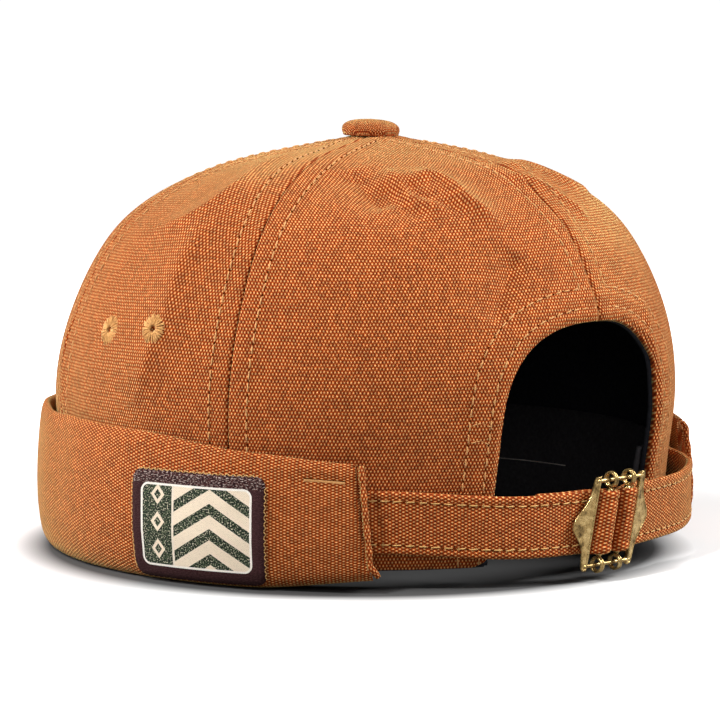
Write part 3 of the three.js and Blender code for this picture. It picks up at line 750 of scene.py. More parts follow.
def arch_net(width, rise, start, gap, hem, corner, fine, coarse):
    """The net beside and above half an arch, from a seam to the middle of the back."""
    spring = climb_at_height(ARCH_SPRING)
    spring_turn = side_of_arch(width, spring)
    columns = graded(np.radians(spring_turn - start) * HALF_WIDTH, fine, coarse)
    across, up, low_cells = grid(columns, graded(spring, fine, coarse))
    away = (1 - across) * np.radians(spring_turn - start) * HALF_WIDTH
    rounding = corner - np.sqrt(np.maximum(corner**2 - np.maximum(corner - away, 0) ** 2, 0))
    lowest = climb_at_height(hem + back_lift(start + (spring_turn - start) * across) + rounding)
    low_climb = lowest + (spring - lowest) * up
    low_start = start + slack(low_climb, gap)
    low_turn = low_start + (side_of_arch(width, low_climb) - low_start) * across
    rows = graded(CLIMB_EDGE - spring, fine, coarse)
    across, up, high_cells = grid(columns, rows)
    high_climb = spring + (CLIMB_EDGE - spring) * up
    high_start = start + slack(high_climb, gap)
    high_turn = high_start + (spring_turn - high_start) * across
    across, up, over_cells = grid(graded(width + rise, 0.9, coarse), rows)
    foot_turn, foot_climb = arch_edge(width, rise, 90 * across, gap / 2)
    over_climb = foot_climb + (CLIMB_EDGE - foot_climb) * up
    seam = SEAM_BACK - slack(over_climb, gap)
    over_turn = foot_turn + (spring_turn + (seam - spring_turn) * across - foot_turn) * up
    over_turn = np.where(across == 1, seam, over_turn)
    return weld(
        (low_turn, low_climb, low_cells),
        (high_turn, high_climb, high_cells),
        (over_turn, over_climb, over_cells),
    )


def on_side(turn, mirrored):
    """A turn on the wearer's left, or its mirror image on the right."""
    return 2 * SEAM_BACK - turn if mirrored else turn


def mirror(net):
    turn, climb, cells = net
    return on_side(turn, True), climb, cells[:, ::-1]


def crown_wall(net, outer, inner):
    """A closed wall over a net, between two heights above the crown's outer face."""
    turn, climb, cells = net
    return wall(crown_point(turn, climb, outer), crown_point(turn, climb, inner), cells)


def from_seam(turn, climb, seam):
    return np.abs(np.radians(turn - seam)) * radius_at(climb)


def seam_relief(distance):
    """Rise beside a seam: the turned-in cloth under it, the groove between panels and the sewn-down row."""
    pad = 0.3 * (1 - smooth_step(distance, SEAM_ROW, SEAM_ROW + 3.0))
    return pad - 0.6 * bump(distance, 0.4) - 0.25 * bump(distance - SEAM_ROW, 0.8)


def arch_line(width, grow):
    """Turns and climbs along the edge of half an arch, or of a larger one, from its foot to its peak."""
    turn, climb = arch_edge(width + grow, ARCH_RISE + grow, np.linspace(0, 90, 160), 0.0)
    foot_climb = np.linspace(climb_at_height(HEM + BACK_LIFT), climb[0], 60, endpoint=False)
    turn = np.concatenate([side_of_arch(width + grow, foot_climb), turn])
    return turn, np.concatenate([foot_climb, climb])


def from_arch(turn, climb, width):
    """Distance over the cloth from the edge of half an arch."""
    edge_turn, edge_climb = arch_line(width, 0.0)
    edge = np.stack([from_seam(edge_turn, edge_climb, SEAM_BACK), edge_climb], -1)
    spots = np.stack([np.radians(SEAM_BACK - turn) * radius_at(climb), climb], -1)
    nearest = np.full(len(spots), np.inf)
    for place in edge:
        nearest = np.minimum(nearest, np.hypot(*(spots - place).T))
    return nearest


def arch_relief(distance):
    rise = 0.45 * (1 - smooth_step(distance, ARCH_ROWS[1], ARCH_ROWS[1] + 2.4))
    for row in ARCH_ROWS:
        rise = rise - 0.3 * bump(distance - row, 0.9)
    return rise - 1.1 * bump(distance, 1.2)


def panel(name, net, seams, arch_width=None, mirrored=False):
    turn, climb, cells = net
    hem = climb - climb_at_height(HEM + back_lift(turn))
    out = -0.8 * bump(hem, 1.0)
    depth = CANVAS
    for seam in seams:
        out = out + seam_relief(from_seam(turn, climb, seam))
    if arch_width:
        distance = from_arch(turn, climb, arch_width)
        out = out + arch_relief(distance)
        depth = depth + 0.3 * bump(distance, 2.2)
    middle = sum(seams) / 2
    uv = np.stack([np.radians(turn - middle) * radius_at(climb), climb], -1)
    if mirrored:
        turn, climb, cells = mirror(net)
    for hole_turn, hole_height in EYELETS.values():
        sideways = np.radians(turn - on_side(hole_turn, mirrored)) * radius_at(climb)
        distance = np.hypot(sideways, climb - climb_at_height(hole_height))
        near = distance < EYELET_HOLE + 0.5
        cells = cells[~near[cells].all(1)]
        out = out - 0.5 * bump(distance, 4.0)
    shape = crown_wall((turn, climb, cells), out, out * 0.3 - depth)
    piece(name, shape, canvas, np.vstack([uv, uv + (0.5, 0.5)]))


def make_panels():
    gores = {"side": (SEAM_SIDE_FRONT, SEAM_SIDE_BACK), "front": (SEAM_FRONT, SEAM_SIDE_FRONT)}
    for place, seams in gores.items():
        net = gore_net(*seams)
        panel(f"panel_{place}_left", net, seams)
        panel(f"panel_{place}_right", net, seams, mirrored=True)
    for name, (width, mirrored) in zip(("panel_back_left", "panel_back_right"), ARCH_HALVES):
        net = arch_net(width, ARCH_RISE, SEAM_SIDE_BACK, SEAM_GAP, HEM, ARCH_CORNER, 0.4, 1.3)
        panel(name, net, (SEAM_SIDE_BACK, SEAM_BACK), width, mirrored)


# Stitches
class Stitching:
    """Short bent capsules, joined into one mesh: angles round a capsule, and along it the shares of its
    length, and widths and lifts as shares of its radius."""

    RING = np.linspace(0, 2 * np.pi, 6, endpoint=False)
    SHARES = np.array([-0.5, -0.34, 0.0, 0.34, 0.5])
    WIDTHS = np.array([0.5, 0.95, 1.0, 0.95, 0.5])
    LIFTS = np.array([-0.9, 0.25, 0.6, 0.25, -0.9])

    def __init__(self):
        self.stitches = []
        self.holes = []

    def add(self, middles, aheads, normals, lengths, radius):
        """Adds one stitch at each middle, lying ahead along the cloth."""
        sides = np.cross(normals, aheads)
        reach = self.SHARES[:, None] * np.asarray(lengths)[:, None, None]
        lift = (self.LIFTS * radius)[:, None]
        places = middles[:, None] + aheads[:, None] * reach + normals[:, None] * lift
        ring = np.cos(self.RING)[:, None] * normals[:, None, None]
        ring = ring + np.sin(self.RING)[:, None] * sides[:, None, None]
        self.stitches.extend(places[:, :, None] + ring * (self.WIDTHS * radius)[:, None, None])

    @staticmethod
    def at(values, lengths, where):
        return np.stack([np.interp(where, lengths, column) for column in values.T], -1)

    def along(self, points, normals, pricked=False, sizes=STITCH):
        """Adds a row of stitches along a line of points with the cloth's normals."""
        pitch, length, radius = sizes
        lengths = run_lengths(points)
        places = np.arange(pitch / 2, lengths[-1] - pitch / 2, pitch)
        places = places + RANDOM.normal(0, 0.12, len(places))
        middles = self.at(points, lengths, places)
        aheads = unit(self.at(points, lengths, places + 0.5) - self.at(points, lengths, places - 0.5))
        upright = self.at(normals, lengths, places)
        upright = unit(upright - aheads * (upright * aheads).sum(1, keepdims=True))
        # Places for the painted shade in the needle holes.
        if pricked:
            between = self.at(points, lengths, places + pitch / 2)
            self.holes.append((between - upright * 0.1, aheads, upright))
        aheads = aheads + np.cross(upright, aheads) * RANDOM.normal(0.06, 0.05, (len(places), 1))
        self.add(middles, aheads, upright, length * RANDOM.uniform(0.92, 1.06, len(places)), radius)

    def on_crown(self, turn, climb, out, pricked=False, sizes=STITCH):
        self.along(crown_point(turn, climb, out), crown_normal(turn, climb), pricked, sizes)

    def piece(self, name, material):
        piece(name, join(sweep(rings[:, ::-1]) for rings in self.stitches), material)

    def paint_hole_shade(self, name):
        """Dark capsules of painted shade in the needle holes between the stitches of the rows added so far.
        """
        shade_capsules = Stitching()
        for middles, aheads, normals in self.holes:
            shade_capsules.add(middles, aheads, normals, np.full(len(middles), 0.8), 0.22)
        shade_capsules.piece(name, hole_shade)


def stitch_crown():
    stitching = Stitching()
    right_seams = (on_side(SEAM_SIDE_BACK, True), on_side(SEAM_SIDE_FRONT, True))
    for seam in (SEAM_BACK, SEAM_SIDE_BACK, SEAM_SIDE_FRONT, SEAM_FRONT) + right_seams:
        low = ARCH_SPRING + ARCH_RISE + ARCH_ROWS[1] - 1 if seam == SEAM_BACK else 20.0
        climb = np.linspace(climb_at_height(low), climb_at_radius(11.5), 400)
        for side in (-1, 1):
            turn = seam + side * np.degrees(SEAM_ROW / radius_at(climb))
            stitching.on_crown(turn, climb, 0.2, seam == SEAM_SIDE_BACK)
    for width, mirrored in ARCH_HALVES:
        for row in ARCH_ROWS:
            turn, climb = arch_line(width, row)
            stitching.on_crown(on_side(turn, mirrored), climb, 0.2, not mirrored)
    share = np.linspace(0, 1, 40)
    for width, mirrored in ARCH_HALVES:
        for height in ARCH_TACKS:
            climb = climb_at_height(height + 1.2 * np.sin(np.pi * share))
            turn = side_of_arch(width + ARCH_ROWS[0] + (ARCH_ROWS[1] - ARCH_ROWS[0]) * share, climb)
            stitching.on_crown(on_side(turn, mirrored), climb, 0.25, False, TACK_STITCH)
    stitching.piece("crown_stitches", seam_thread)
    stitching.paint_hole_shade("crown_hole_shade")


# Eyelets: radial stitches over the edge of a hole
def make_eyelet(name, turn, height):
    spot = np.array([turn]), climb_at_height(np.array([height]))
    foot = crown_point(*spot, -0.3)[0]
    normal = crown_normal(*spot)[0]
    level = unit(np.cross((0, 0, 1), normal))
    upright = np.cross(normal, level)
    stitching = Stitching()
    for start, radius, length, count, lift in EYELET_RINGS:
        angle = np.linspace(0, 2 * np.pi, count, endpoint=False) + RANDOM.normal(0, 0.05, count) + start
        spokes = np.cos(angle)[:, None] * level + np.sin(angle)[:, None] * upright
        middles = foot + spokes * radius + normal * lift
        lengths = length * RANDOM.uniform(0.9, 1.12, count)
        stitching.add(middles, spokes, np.repeat(normal[None], count, 0), lengths, 0.22)
    stitching.piece(name, eyelet_thread)


def make_eyelets():
    for side, mirrored in (("left", False), ("right", True)):
        for place, (turn, height) in EYELETS.items():
            make_eyelet(f"eyelet_{side}_{place}", on_side(turn, mirrored), height)


# Button: cloth drawn over a low dome
def make_button():
    outline = [
        (0.02, -3.5), (2.8, -3.5), (2.8, 0.0),
        (BUTTON_RADIUS - 1.2, -0.7), (BUTTON_RADIUS - 0.2, 0.3), (BUTTON_RADIUS, 1.6),
        (BUTTON_RADIUS - 0.5, 2.8), (BUTTON_RADIUS - 2.2, 3.9),
        (BUTTON_RADIUS * 0.45, BUTTON_HEIGHT - 0.25), (0.02, BUTTON_HEIGHT),
    ]
    line = catmull_rom(outline, 6)
    angle = np.linspace(0, 2 * np.pi, 96, endpoint=False)
    pucker = 1 + 0.012 * np.sin(11 * angle)[:, None] * (line[:, 0] / BUTTON_RADIUS) ** 6
    radius = line[:, 0] * pucker
    across, along = np.cos(angle)[:, None], np.sin(angle)[:, None]
    points = np.stack(np.broadcast_arrays(radius * across, radius * along, line[:, 1]), -1)
    uv = 1.3 * points[..., :2] * (1 + (BUTTON_HEIGHT - points[..., 2:]) / BUTTON_RADIUS)
    placed = points + (BUTTON_SHIFT[0], BUTTON_SHIFT[1] + CROWN_LEAN, CROWN_HEIGHT - 0.2)
    placed[..., 2] += 0.02 * points[..., 0] - 0.03 * points[..., 1]
    vertices, faces = sweep(placed, closed=True)
    count = len(line)
    faces = [face for face in faces if {face[0] % count, face[2] % count} != {0, count - 1}]
    piece("button", (vertices, faces), canvas, uv.reshape(-1, 2))


# Inside: lining, sweatband and the facing of the arch
def make_lining():
    grow = FACING_WIDTH + 0.9

    def half(width):
        return arch_net(width + grow, ARCH_RISE + grow, SEAM_FRONT, 0.0, LINING_HEM, 0.0, 2.0, 4.0)

    net = weld(half(ARCH_LEFT), mirror(half(ARCH_RIGHT)))
    waves = 0.25 * np.sin(np.radians(net[0]) * 9) * np.sin(net[1] / 9)
    piece("lining", crown_wall(net, waves - LINING_OUTER, waves - LINING_INNER), lining_cloth)


def make_sweatband():
    top = climb_at_height(SWEATBAND_TOP)
    right_end = on_side(side_of_arch(ARCH_RIGHT + 1, top), True) - 360
    left_end = side_of_arch(ARCH_LEFT + 1, top)
    across, up, cells = grid(np.linspace(0, 1, 260), np.linspace(0, 1, 18))
    turn = right_end + (left_end - right_end) * across
    low = climb_at_height(SWEATBAND_HEM) + back_lift(turn)
    net = turn, low + (top - low) * up, cells
    swell = 0.45 * np.sin(np.pi * up)
    band = crown_wall(net, -SWEATBAND_OUTER, -SWEATBAND_INNER - swell)
    piece("sweatband", band, band_cloth)
    turn = np.linspace(-188, -60, 300)
    climb = np.full(len(turn), climb_at_height(SWEATBAND_LINE))
    cord = tube(crown_point(turn, climb, -SWEATBAND_INNER - 0.55), 0.2, 8)
    piece("sweatband_cord", cord, pale_thread)


def make_facing():
    shares = np.linspace(0, 1, 120)
    grows = np.linspace(0.3, FACING_WIDTH, 8)
    _, _, cells = grid(shares, grows)

    def half(width):
        lines = [np.stack(arch_line(width, grow), -1) for grow in grows]
        points = np.stack([Stitching.at(line, np.linspace(0, 1, len(line)), shares) for line in lines], 1)
        return points[..., 0].ravel(), points[..., 1].ravel(), cells

    net = weld(half(ARCH_LEFT), mirror(half(ARCH_RIGHT)))
    piece("arch_facing", crown_wall(net, -FACING_OUTER, -FACING_INNER), lining_cloth)


# Cuff, label and bar tack
def round_cap(turn, out, height):
    angle = np.radians(turn)
    x = (HALF_WIDTH + out) * np.cos(angle)
    y = (HALF_LENGTH + out) * np.sin(angle)
    return np.stack(np.broadcast_arrays(x, y, height), -1)


def cuff_height(turn, up):
    low = back_lift(turn)
    drop = CUFF_END_DROP * (1 - smooth_step(from_back(turn), DROP_NEAR, DROP_FAR))
    ripple = 0.35 * np.sin(np.radians(turn) * 7 + 1.0) + 0.25 * np.sin(np.radians(turn) * 15)
    high = CUFF_TOP - drop + ripple
    return low + (high - low) * up / CUFF_TOP


def cuff_wave(turn, up):
    angle = np.radians(turn)
    wave = 0.30 * np.sin(5 * angle + 0.4) + 0.22 * np.sin(11 * angle + 1.9) + 0.14 * np.sin(23 * angle + 0.7)
    pinch = -1.3 * bump(turn - sum(TACK_TURNS) / 2, 4.5) * bump(up - TACK_UP, 1.6)
    return (wave + pinch) * smooth_step(up, 3.0, 26.0)


def cuff_flare(turn):
    from_right_end = (turn - SEAM_BACK - CUFF_END) % 360
    from_left_end = 360 - 2 * CUFF_END - from_right_end
    left = LEFT_FLARE * (1 - smooth_step(from_left_end, 0, LEFT_FLARE_REACH))
    return left + CUFF_FLARE * (1 - smooth_step(from_right_end, 0, CUFF_FLARE_REACH))


def cuff_point(turn, out, up):
    return round_cap(turn, out + cuff_wave(turn, up) + cuff_flare(turn), cuff_height(turn, up))


def cuff_end_slant(up):
    """Degrees by which the cuff's ends lean back at a height, with a flap at the foot."""
    flap = 1.2 * (1 - smooth_step(up, 1.0, 7.0))
    return (CUFF_END_SLANT - 0.9) * up / CUFF_TOP - flap + 0.9


def make_cuff():
    section = round_corners(CUFF_SECTION, 2)
    out, up = section.T
    first = SEAM_BACK + CUFF_END - 360
    last = SEAM_BACK - CUFF_END
    share = graded(np.radians(last - first) * HALF_WIDTH, 0.4, 1.7)[:, None]
    row = np.arange(len(section)) * len(CUFF_SECTION) / len(section)
    inner_layer = smooth_step(row, 8.5, 10) * (1 - smooth_step(row, 14, 15.5))
    slant = cuff_end_slant(up) - 0.5 * inner_layer
    turns = first + slant + (last - first - 2 * slant) * share
    end = np.minimum(share, 1 - share) * np.radians(last - first) * HALF_WIDTH
    turned_in = np.where(out > 3.2, -1.0, 0.0) * bump(end, 1.0) * smooth_step(up, 3, 8)
    rings = cuff_point(turns, out + turned_in, up)
    uv = np.stack(np.broadcast_arrays(run_lengths(section), np.radians(turns) * HALF_WIDTH), -1)
    piece("cuff", sweep(rings), canvas, uv.reshape(-1, 2))


def make_cuff_lips():
    """The folded edge of the cuff's inner layer, which shows beside the outer layer at both ends."""
    up = np.linspace(2.0, CUFF_TOP - 1.2, 60)
    sides = 16
    for name, end, inward in (("left", SEAM_BACK - CUFF_END, -1), ("right", SEAM_BACK + CUFF_END - 360, 1)):
        turn = end + inward * (cuff_end_slant(up) - LIP_BEYOND)
        sunk = 0.9 + 1.6 * smooth_step(up, CUFF_TOP - 4, CUFF_TOP)
        line = cuff_point(turn, cuff_face(up) - sunk, up)
        lip = tube(line, LIP_RADIUS * (1 - 0.12 * np.sin(up * 0.9)), sides)
        around = np.linspace(0, 2 * np.pi * LIP_RADIUS, sides)
        uv = np.stack(np.broadcast_arrays(around[None], run_lengths(line)[:, None]), -1)
        piece(f"cuff_lip_{name}", lip, canvas, uv.reshape(-1, 2))


def cuff_face(up):
    face = np.array(CUFF_FACE)
    return np.interp(up, face[:, 1], face[:, 0])


def cuff_normal(turn, up):
    out = cuff_face(up)
    round_it = cuff_point(turn + 0.5, out, up) - cuff_point(turn - 0.5, out, up)
    upward = cuff_point(turn, cuff_face(up + 1), up + 1) - cuff_point(turn, cuff_face(up - 1), up - 1)
    return unit(np.cross(round_it, upward))


LABEL_WIDTH = np.radians(LABEL_TO - LABEL_FROM) * (HALF_WIDTH + 6)
LABEL_TALL = LABEL_HIGH - LABEL_LOW


def label_place(x, y):
    """Turn and place up the cuff's section of a place on the label, from its lower front corner."""
    turn = LABEL_FROM + (LABEL_TO - LABEL_FROM) * x / LABEL_WIDTH
    low, high = cuff_height(turn, 0.0), cuff_height(turn, CUFF_TOP)
    return turn, (LABEL_LOW + y - low) / (high - low) * CUFF_TOP


def on_cuff(turn, up, clear):
    return cuff_point(turn, cuff_face(up) + clear, up)


def make_label():
    across, up, cells = grid(graded(LABEL_WIDTH, 0.3, 1.0), graded(LABEL_TALL, 0.25, 1.0))
    y = LABEL_TALL * up
    nearest = np.minimum(y, LABEL_TALL - y)
    inset = LABEL_CORNER - np.sqrt(LABEL_CORNER**2 - np.maximum(LABEL_CORNER - nearest, 0) ** 2)
    x = inset + (LABEL_WIDTH - 2 * inset) * across
    edge = np.minimum(np.minimum(x - inset, LABEL_WIDTH - inset - x), nearest)
    turn, height = label_place(x, y)
    puff = 0.25 * bump(edge - 2.0, 1.6) - 0.45 * bump(edge, 0.5)
    outer = on_cuff(turn, height, LABEL_CLEAR + LABEL_THICK + puff)
    shape = wall(outer, on_cuff(turn, height, LABEL_CLEAR), cells)
    uv = np.stack([x, y], -1)
    piece("label", shape, make_label_cloth(LABEL_WIDTH, LABEL_TALL), np.vstack([uv, uv]))


def stitch_label():
    """Zigzag stitches that hold the label's upper edge and sides to the cuff."""
    stitching = Stitching()
    edge_runs = [
        ((0.0, 2.0), (0.0, LABEL_TALL - 3)),
        ((2.0, LABEL_TALL), (LABEL_WIDTH - 2, LABEL_TALL)),
        ((LABEL_WIDTH, LABEL_TALL - 3), (LABEL_WIDTH, 2.0)),
    ]
    for start, end in edge_runs:
        start, end = np.array(start), np.array(end)
        length = np.linalg.norm(end - start)
        count = int(length / 0.95)
        ahead = (end - start) / length
        side = np.array([-ahead[1], ahead[0]])
        share = (np.arange(count) + 0.5) / count
        middle = start + (end - start) * share[:, None] + side * 0.12
        slope = np.where(np.arange(count) % 2, 0.75, -0.75)[:, None]
        reach = (ahead + side * slope) * 0.4
        tips = [label_place(*(middle + reach * sign).T) for sign in (-1, 1)]
        ends = [on_cuff(turn, up, LABEL_CLEAR + 0.55) for turn, up in tips]
        along = ends[1] - ends[0]
        lengths = np.linalg.norm(along, axis=1)
        normals = cuff_normal(*label_place(*middle.T))
        stitching.add((ends[0] + ends[1]) / 2, along / lengths[:, None], normals, lengths * 1.1, 0.15)
    stitching.piece("label_stitches", gold_thread)


def stitch_tack():
    """A short bar of close stitches near the cuff's end, with a line of painted shade along both of its
    sides.
    """
    stitching = Stitching()
    count = 44
    turn = np.linspace(*TACK_TURNS, count)
    up = np.full(count, TACK_UP)
    middles = on_cuff(turn, up, 0.05)
    normals = cuff_normal(turn, up)
    along = unit(on_cuff(turn + 1, up, 0.0) - on_cuff(turn, up, 0.0))
    ahead = unit(np.cross(normals, along))
    stitching.add(middles, ahead, normals, RANDOM.uniform(0.8, 1.2, count), 0.16)
    # Painted shade along both sides of the bar, where it sinks into the cloth.
    for side in (-TACK_HALF_WIDTH, TACK_HALF_WIDTH):
        stitching.holes.append((middles + side * ahead - 0.1 * normals, along, normals))
    stitching.piece("cuff_tack", seam_thread)
    stitching.paint_hole_shade("cuff_tack_shade")


# Straps
def strap_line(route, side):
    """Points of a strap's middle line: x, y and the share of the buckle's lean."""
    points = [(*round_cap(turn, out, 0.0)[:2], 0.0) for turn, out in route]
    for along, out in STRAP_FOLD:
        lean = 1 - smooth_step(along, FOLD_SQUARE_TO_STRAP - 5, FOLD_SQUARE_TO_STRAP + 5)
        points.append((*place_buckle(np.array([side * along, out, 0.0]))[:2], lean))
    return catmull_rom(points, 12)


def strap_across(line):
    ahead = unit(np.gradient(line[:, :2], axis=0))
    return np.stack([ahead[:, 1], -ahead[:, 0]], -1)


def strap_lift(line):
    turn = np.degrees(np.arctan2(line[:, 1:2] / HALF_LENGTH, line[:, :1] / HALF_WIDTH))
    return STRAP_LIFT * smooth_step(from_back(turn), STRAP_LIFT_NEAR, CUFF_END)


def strap_point(line, across, out, height):
    shift = line[:, 2:] * LEAN_SLOPE * (height - BUCKLE_MIDDLE[2])
    x = line[:, :1] + across[:, :1] * out + shift
    y = line[:, 1:2] + across[:, 1:2] * out
    return np.stack(np.broadcast_arrays(x, y, height + strap_lift(line)), -1)


def make_strap(name, route, side):
    line = strap_line(route, side)
    across = strap_across(line)
    face = np.array([0.0, 0.3, 0.8, 1.6, 2.3, STRAP_ROW, 3.3, 4.2, 6.5, 9.4])
    heights = np.concatenate([STRAP_LOW + face, (STRAP_HIGH - face)[-2::-1]])
    edge = np.minimum(heights - STRAP_LOW, STRAP_HIGH - heights)
    half = STRAP_THICK / 2 * np.sqrt(np.clip(1 - (1 - np.clip(edge / 0.8, 0, 1)) ** 2, 0.05, 1))
    half = half - 0.22 * bump(edge - STRAP_ROW, 0.6) + 0.12 * bump(edge - 1.4, 0.8)
    out = np.concatenate([half, -half[::-1]])
    height = np.concatenate([heights, heights[::-1]])
    rings = strap_point(line, across, out[None], height[None])
    uv = np.stack(np.broadcast_arrays(height, run_lengths(line[:, :2])[:, None]), -1)
    piece(name, sweep(rings[:, ::side]), canvas, uv[:, ::side].reshape(-1, 2))


def stitch_straps():
    stitching = Stitching()
    for route, side in ((STRAP_LEFT, 1), (STRAP_RIGHT, -1)):
        line = strap_line(route, side)
        across = strap_across(line)
        shown = slice(12, 12 * (len(route) + 2))
        outward = np.sign((across * line[:, :2]).sum(1))[shown, None]
        normals = np.hstack([across[shown] * outward, np.zeros((len(line[shown]), 1))])
        for height in (STRAP_LOW + STRAP_ROW, STRAP_HIGH - STRAP_ROW):
            out = outward * (STRAP_THICK / 2 - 0.02)
            points = strap_point(line[shown], across[shown], out, np.array([[height]]))[:, 0]
            stitching.along(points, normals, True)
    stitching.piece("strap_stitches", gold_thread)
    stitching.paint_hole_shade("strap_hole_shade")


# Buckle, in its own frame: x along the strap, y out of it and z up
def place_buckle(points):
    yaw = np.radians(BUCKLE_YAW)
    x = points[..., 0] * np.cos(yaw) - points[..., 1] * np.sin(yaw)
    y = points[..., 0] * np.sin(yaw) + points[..., 1] * np.cos(yaw)
    return np.stack([x, y, points[..., 2]], -1) + np.array(BUCKLE_MIDDLE)


def tube(line, radius, sides=20, closed=False):
    """A round tube along a line of points, with one radius or a radius at each of them."""
    ahead = unit(np.roll(line, -1, 0) - np.roll(line, 1, 0) if closed else np.gradient(line, axis=0))
    guide = (0.0, 1.0, 0.0) if np.abs(ahead[:, 1]).max() < 0.9 else (1.0, 0.0, 0.0)
    first = unit(np.cross(guide, ahead))
    second = np.cross(ahead, first)
    angle = np.linspace(0, 2 * np.pi, sides, endpoint=False)[None, :, None]
    radius = np.broadcast_to(radius, len(line))[:, None, None]
    rings = line[:, None] + radius * (np.cos(angle) * first[:, None] + np.sin(angle) * second[:, None])
    return sweep(rings[:, ::-1], closed)


def join(parts):
    points, faces, start = [], [], 0
    for part_points, part_faces in parts:
        points.append(part_points)
        faces += [tuple(corner + start for corner in face) for face in part_faces]
        start += len(part_points)
    return np.vstack(points), faces


def leaf_plate(side):
    """A leaf-shaped plate with softened edges, bent back over the strap, and the bead along its rim."""
    half = [
        (PLATE_INNER, 0.0), (PLATE_INNER, PLATE_HALF_HEIGHT * 0.93),
        (PLATE_INNER + 0.5, PLATE_HALF_HEIGHT), (PLATE_WAIST - 1.1, PLATE_HALF_HEIGHT),
        (PLATE_WAIST - 0.6, PLATE_HALF_HEIGHT * 0.9), (PLATE_WAIST, PLATE_HALF_HEIGHT * 0.6),
        (PLATE_WAIST + 1.7, PLATE_HALF_HEIGHT * 0.36), (PLATE_OUTER - 0.6, PLATE_HALF_HEIGHT * 0.14),
        (PLATE_OUTER, 0.0),
    ]
    line = catmull_rom(half, 8)
    outline = np.vstack([line, (line * (1, -1))[-2:0:-1]])
    ahead = np.roll(outline, -1, 0) - np.roll(outline, 1, 0)
    inward = unit(np.stack([ahead[:, 1], -ahead[:, 0]], -1))
    bend = np.radians(-PLATE_BEND)
    layers = []
    for inset, out in ((0.45, -0.5), (0.12, -0.38), (0.0, 0.0), (0.12, 0.38), (0.45, 0.5)):
        layer = outline + inward * inset
        along = layer[:, 0] - PLATE_INNER
        y = out * PLATE_THICK
        x = PLATE_INNER + along * np.cos(bend) - y * np.sin(bend)
        z = layer[:, 1]
        layers.append(np.stack([side * x + z * LEAN_SLOPE, along * np.sin(bend) + y * np.cos(bend), z], -1))
    rings = np.array(layers)
    return sweep(rings[:, ::side]), tube(rings[3], PLATE_RIM, 10, closed=True)


def rounded_rod(middle, half, radius, steps=24):
    """A rod with rounded ends, from half its length before its middle to half after."""
    share = np.linspace(-1, 1, steps)[:, None]
    from_end = (1 - np.abs(share[:, 0])) * np.linalg.norm(half)
    widths = radius * np.sqrt(np.clip(1 - (1 - np.clip(from_end / (0.6 * radius), 0, 1)) ** 2, 0.15, 1))
    return tube(middle + half * share, widths)


def make_buckle():
    plates, rims = zip(leaf_plate(1), leaf_plate(-1))
    upright = np.array([LEAN_SLOPE, 0, 1])
    level = np.array([1, 0, 0])
    reach = ROD_HALF_LENGTH * level
    rods = [rounded_rod(end * ROD_HEIGHT * upright, reach, ROD_RADIUS, 40) for end in (-1, 1)]
    shapes = [("buckle_frame", plates, dark_brass), ("buckle_rods", [*rims, *rods], worn_brass)]
    angle = np.linspace(0, 2 * np.pi, 40, endpoint=False)
    circle = EYE_RADIUS * np.stack([0 * angle, np.cos(angle), np.sin(angle)], -1)
    for name, along in (("buckle_bar_left", BAR_AT), ("buckle_bar_right", -BAR_AT)):
        parts = [rounded_rod(along * level, (ROD_HEIGHT - EYE_RADIUS) * upright, BAR_RADIUS)]
        for end in (-1, 1):
            for shift in (-EYE_APART, EYE_APART):
                eye = (along + shift) * level + end * ROD_HEIGHT * upright + circle
                parts.append(tube(eye, EYE_WIRE, 12, closed=True))
        shapes.append((name, parts, worn_brass))
    for name, parts, brass in shapes:
        points, faces = join(parts)
        piece(name, (place_buckle(points), faces), brass)


# Stage: floor, light and camera
def camera_axes():
    turn, rise = np.radians(CAMERA_TURN), np.radians(CAMERA_RISE)
    back = np.array([np.cos(turn) * np.cos(rise), np.sin(turn) * np.cos(rise), np.sin(rise)])
    right = np.array([-np.sin(turn), np.cos(turn), 0.0])
    return back, right, np.cross(back, right)


def aim_at(thing, place, target):
    """Puts a lamp or the camera in the scene at a place, looking at a target."""
    bpy.context.scene.collection.objects.link(thing)
    thing.location = place * MM
    thing.rotation_euler = Vector((target - place) * MM).to_track_quat("-Z", "Y").to_euler()


def make_camera():
    back, right, up = camera_axes()
    middle = AXIS + CAMERA_AIM
    camera = bpy.data.objects.new("camera", bpy.data.cameras.new("camera"))
    camera.data.lens = LENS
    camera.data.sensor_width = 36.0
    camera.data.clip_start = 0.05
    aim_at(camera, middle + back * CAMERA_DISTANCE, middle + right * FRAME_RIGHT + up * FRAME_UP)
    bpy.context.scene.camera = camera


def grey(value):
    return (value, value, value)


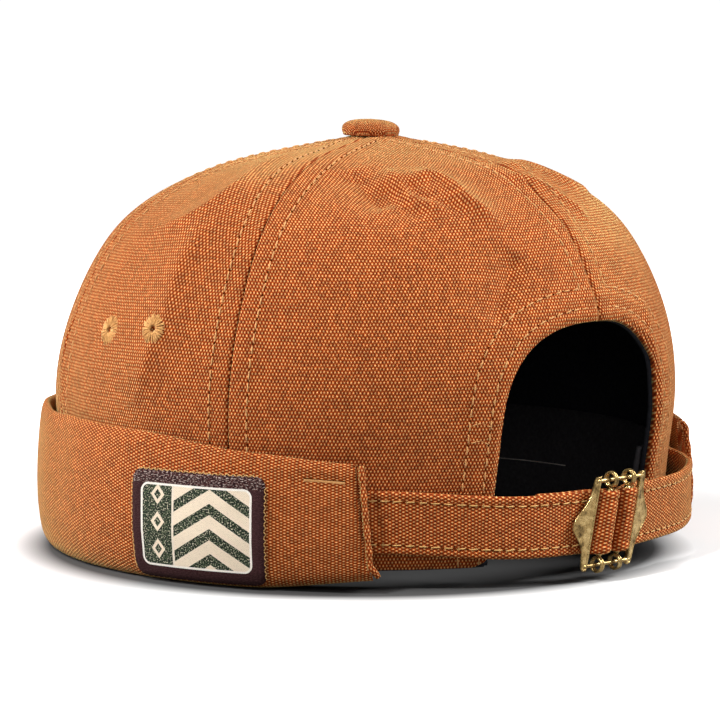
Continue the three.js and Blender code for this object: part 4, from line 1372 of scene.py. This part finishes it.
def make_floor():
    """White floor that throws little light back on the cap, with a dark shade under it."""
    across, up, cells = grid(np.linspace(-3, 3, 25), np.linspace(-3, 3, 25))
    mesh = bpy.data.meshes.new("floor")
    mesh.from_pydata(np.stack([across, up, 0 * up], -1).tolist(), [], cells.tolist())
    shader = new_shader("white_floor")
    place = shader.place()
    seen = shader.node("LightPath", output="Is Camera Ray")
    white = shader.ramp(shader.noise(place, 1.5), (0.3, grey(0.86)), (0.7, grey(0.90)))
    colour = shader.mix(seen, grey(FLOOR_BOUNCE), white)
    off_middle = shader.vector("SUBTRACT", place, (AXIS + SHADE_SHIFT) * MM)
    share = shader.vector("MULTIPLY", off_middle, (1 / HALF_WIDTH / MM, 1 / HALF_LENGTH / MM, 0))
    edges = {"Value": shader.length(share), "From Min": SHADE_FROM, "From Max": SHADE_TO}
    far = {"Value": shader.length(place), "From Min": 0.2, "From Max": 0.5}
    material = shader.finish(
        Base_Color=shader.mix(shader.node("MapRange", edges), grey(SHADE_TONE), colour),
        Roughness=0.7,
        Specular_IOR_Level=0.2,
        Emission_Color=grey(1),
        Emission_Strength=shader.math("MULTIPLY", shader.node("MapRange", far), seen),
    )
    mesh.materials.append(material)
    floor = bpy.data.objects.new("floor", mesh)
    bpy.context.scene.collection.objects.link(floor)


def area_light(name, right, up, back, size, power):
    """A soft light at a place given from the camera's side of the cap, aimed at the crown."""
    toward, sideways, _ = camera_axes()
    light = bpy.data.objects.new(name, bpy.data.lights.new(name, "AREA"))
    light.data.shape = "DISK"
    light.data.size = size * MM
    light.data.energy = power
    aim_at(light, AXIS + sideways * right + unit(toward * (1, 1, 0)) * back + (0, 0, up), AXIS + CAMERA_AIM)


def make_world():
    """White backdrop for the camera, with a weaker dome of light for the cap, brightest overhead."""
    world = bpy.data.worlds.new("studio")
    bpy.context.scene.world = world
    shader = Shader(world, "Background")
    _, _, rise = shader.split(shader.node("TexCoord", output="Generated"))
    climb = {"Value": rise, "From Min": -0.1, "To Min": DOME_LOW, "To Max": DOME_HIGH}
    dome = shader.node("MapRange", climb)
    seen = shader.node("LightPath", output="Is Camera Ray")
    shader.finish(Color=grey(1), Strength=shader.node("Mix", {0: seen, 2: dome, 3: BACKDROP}))


def make_stage():
    make_floor()
    make_world()
    for name, lamp in LAMPS.items():
        area_light(name, *lamp)
    bpy.context.scene.view_settings.view_transform = "Standard"
    bpy.context.scene.view_settings.look = "None"
    make_camera()


make_panels()
stitch_crown()
make_eyelets()
make_button()
make_lining()
make_sweatband()
make_facing()
make_cuff()
make_cuff_lips()
make_label()
stitch_label()
stitch_tack()
make_strap("strap_left", STRAP_LEFT, 1)
make_strap("strap_right", STRAP_RIGHT, -1)
stitch_straps()
make_buckle()
make_stage()
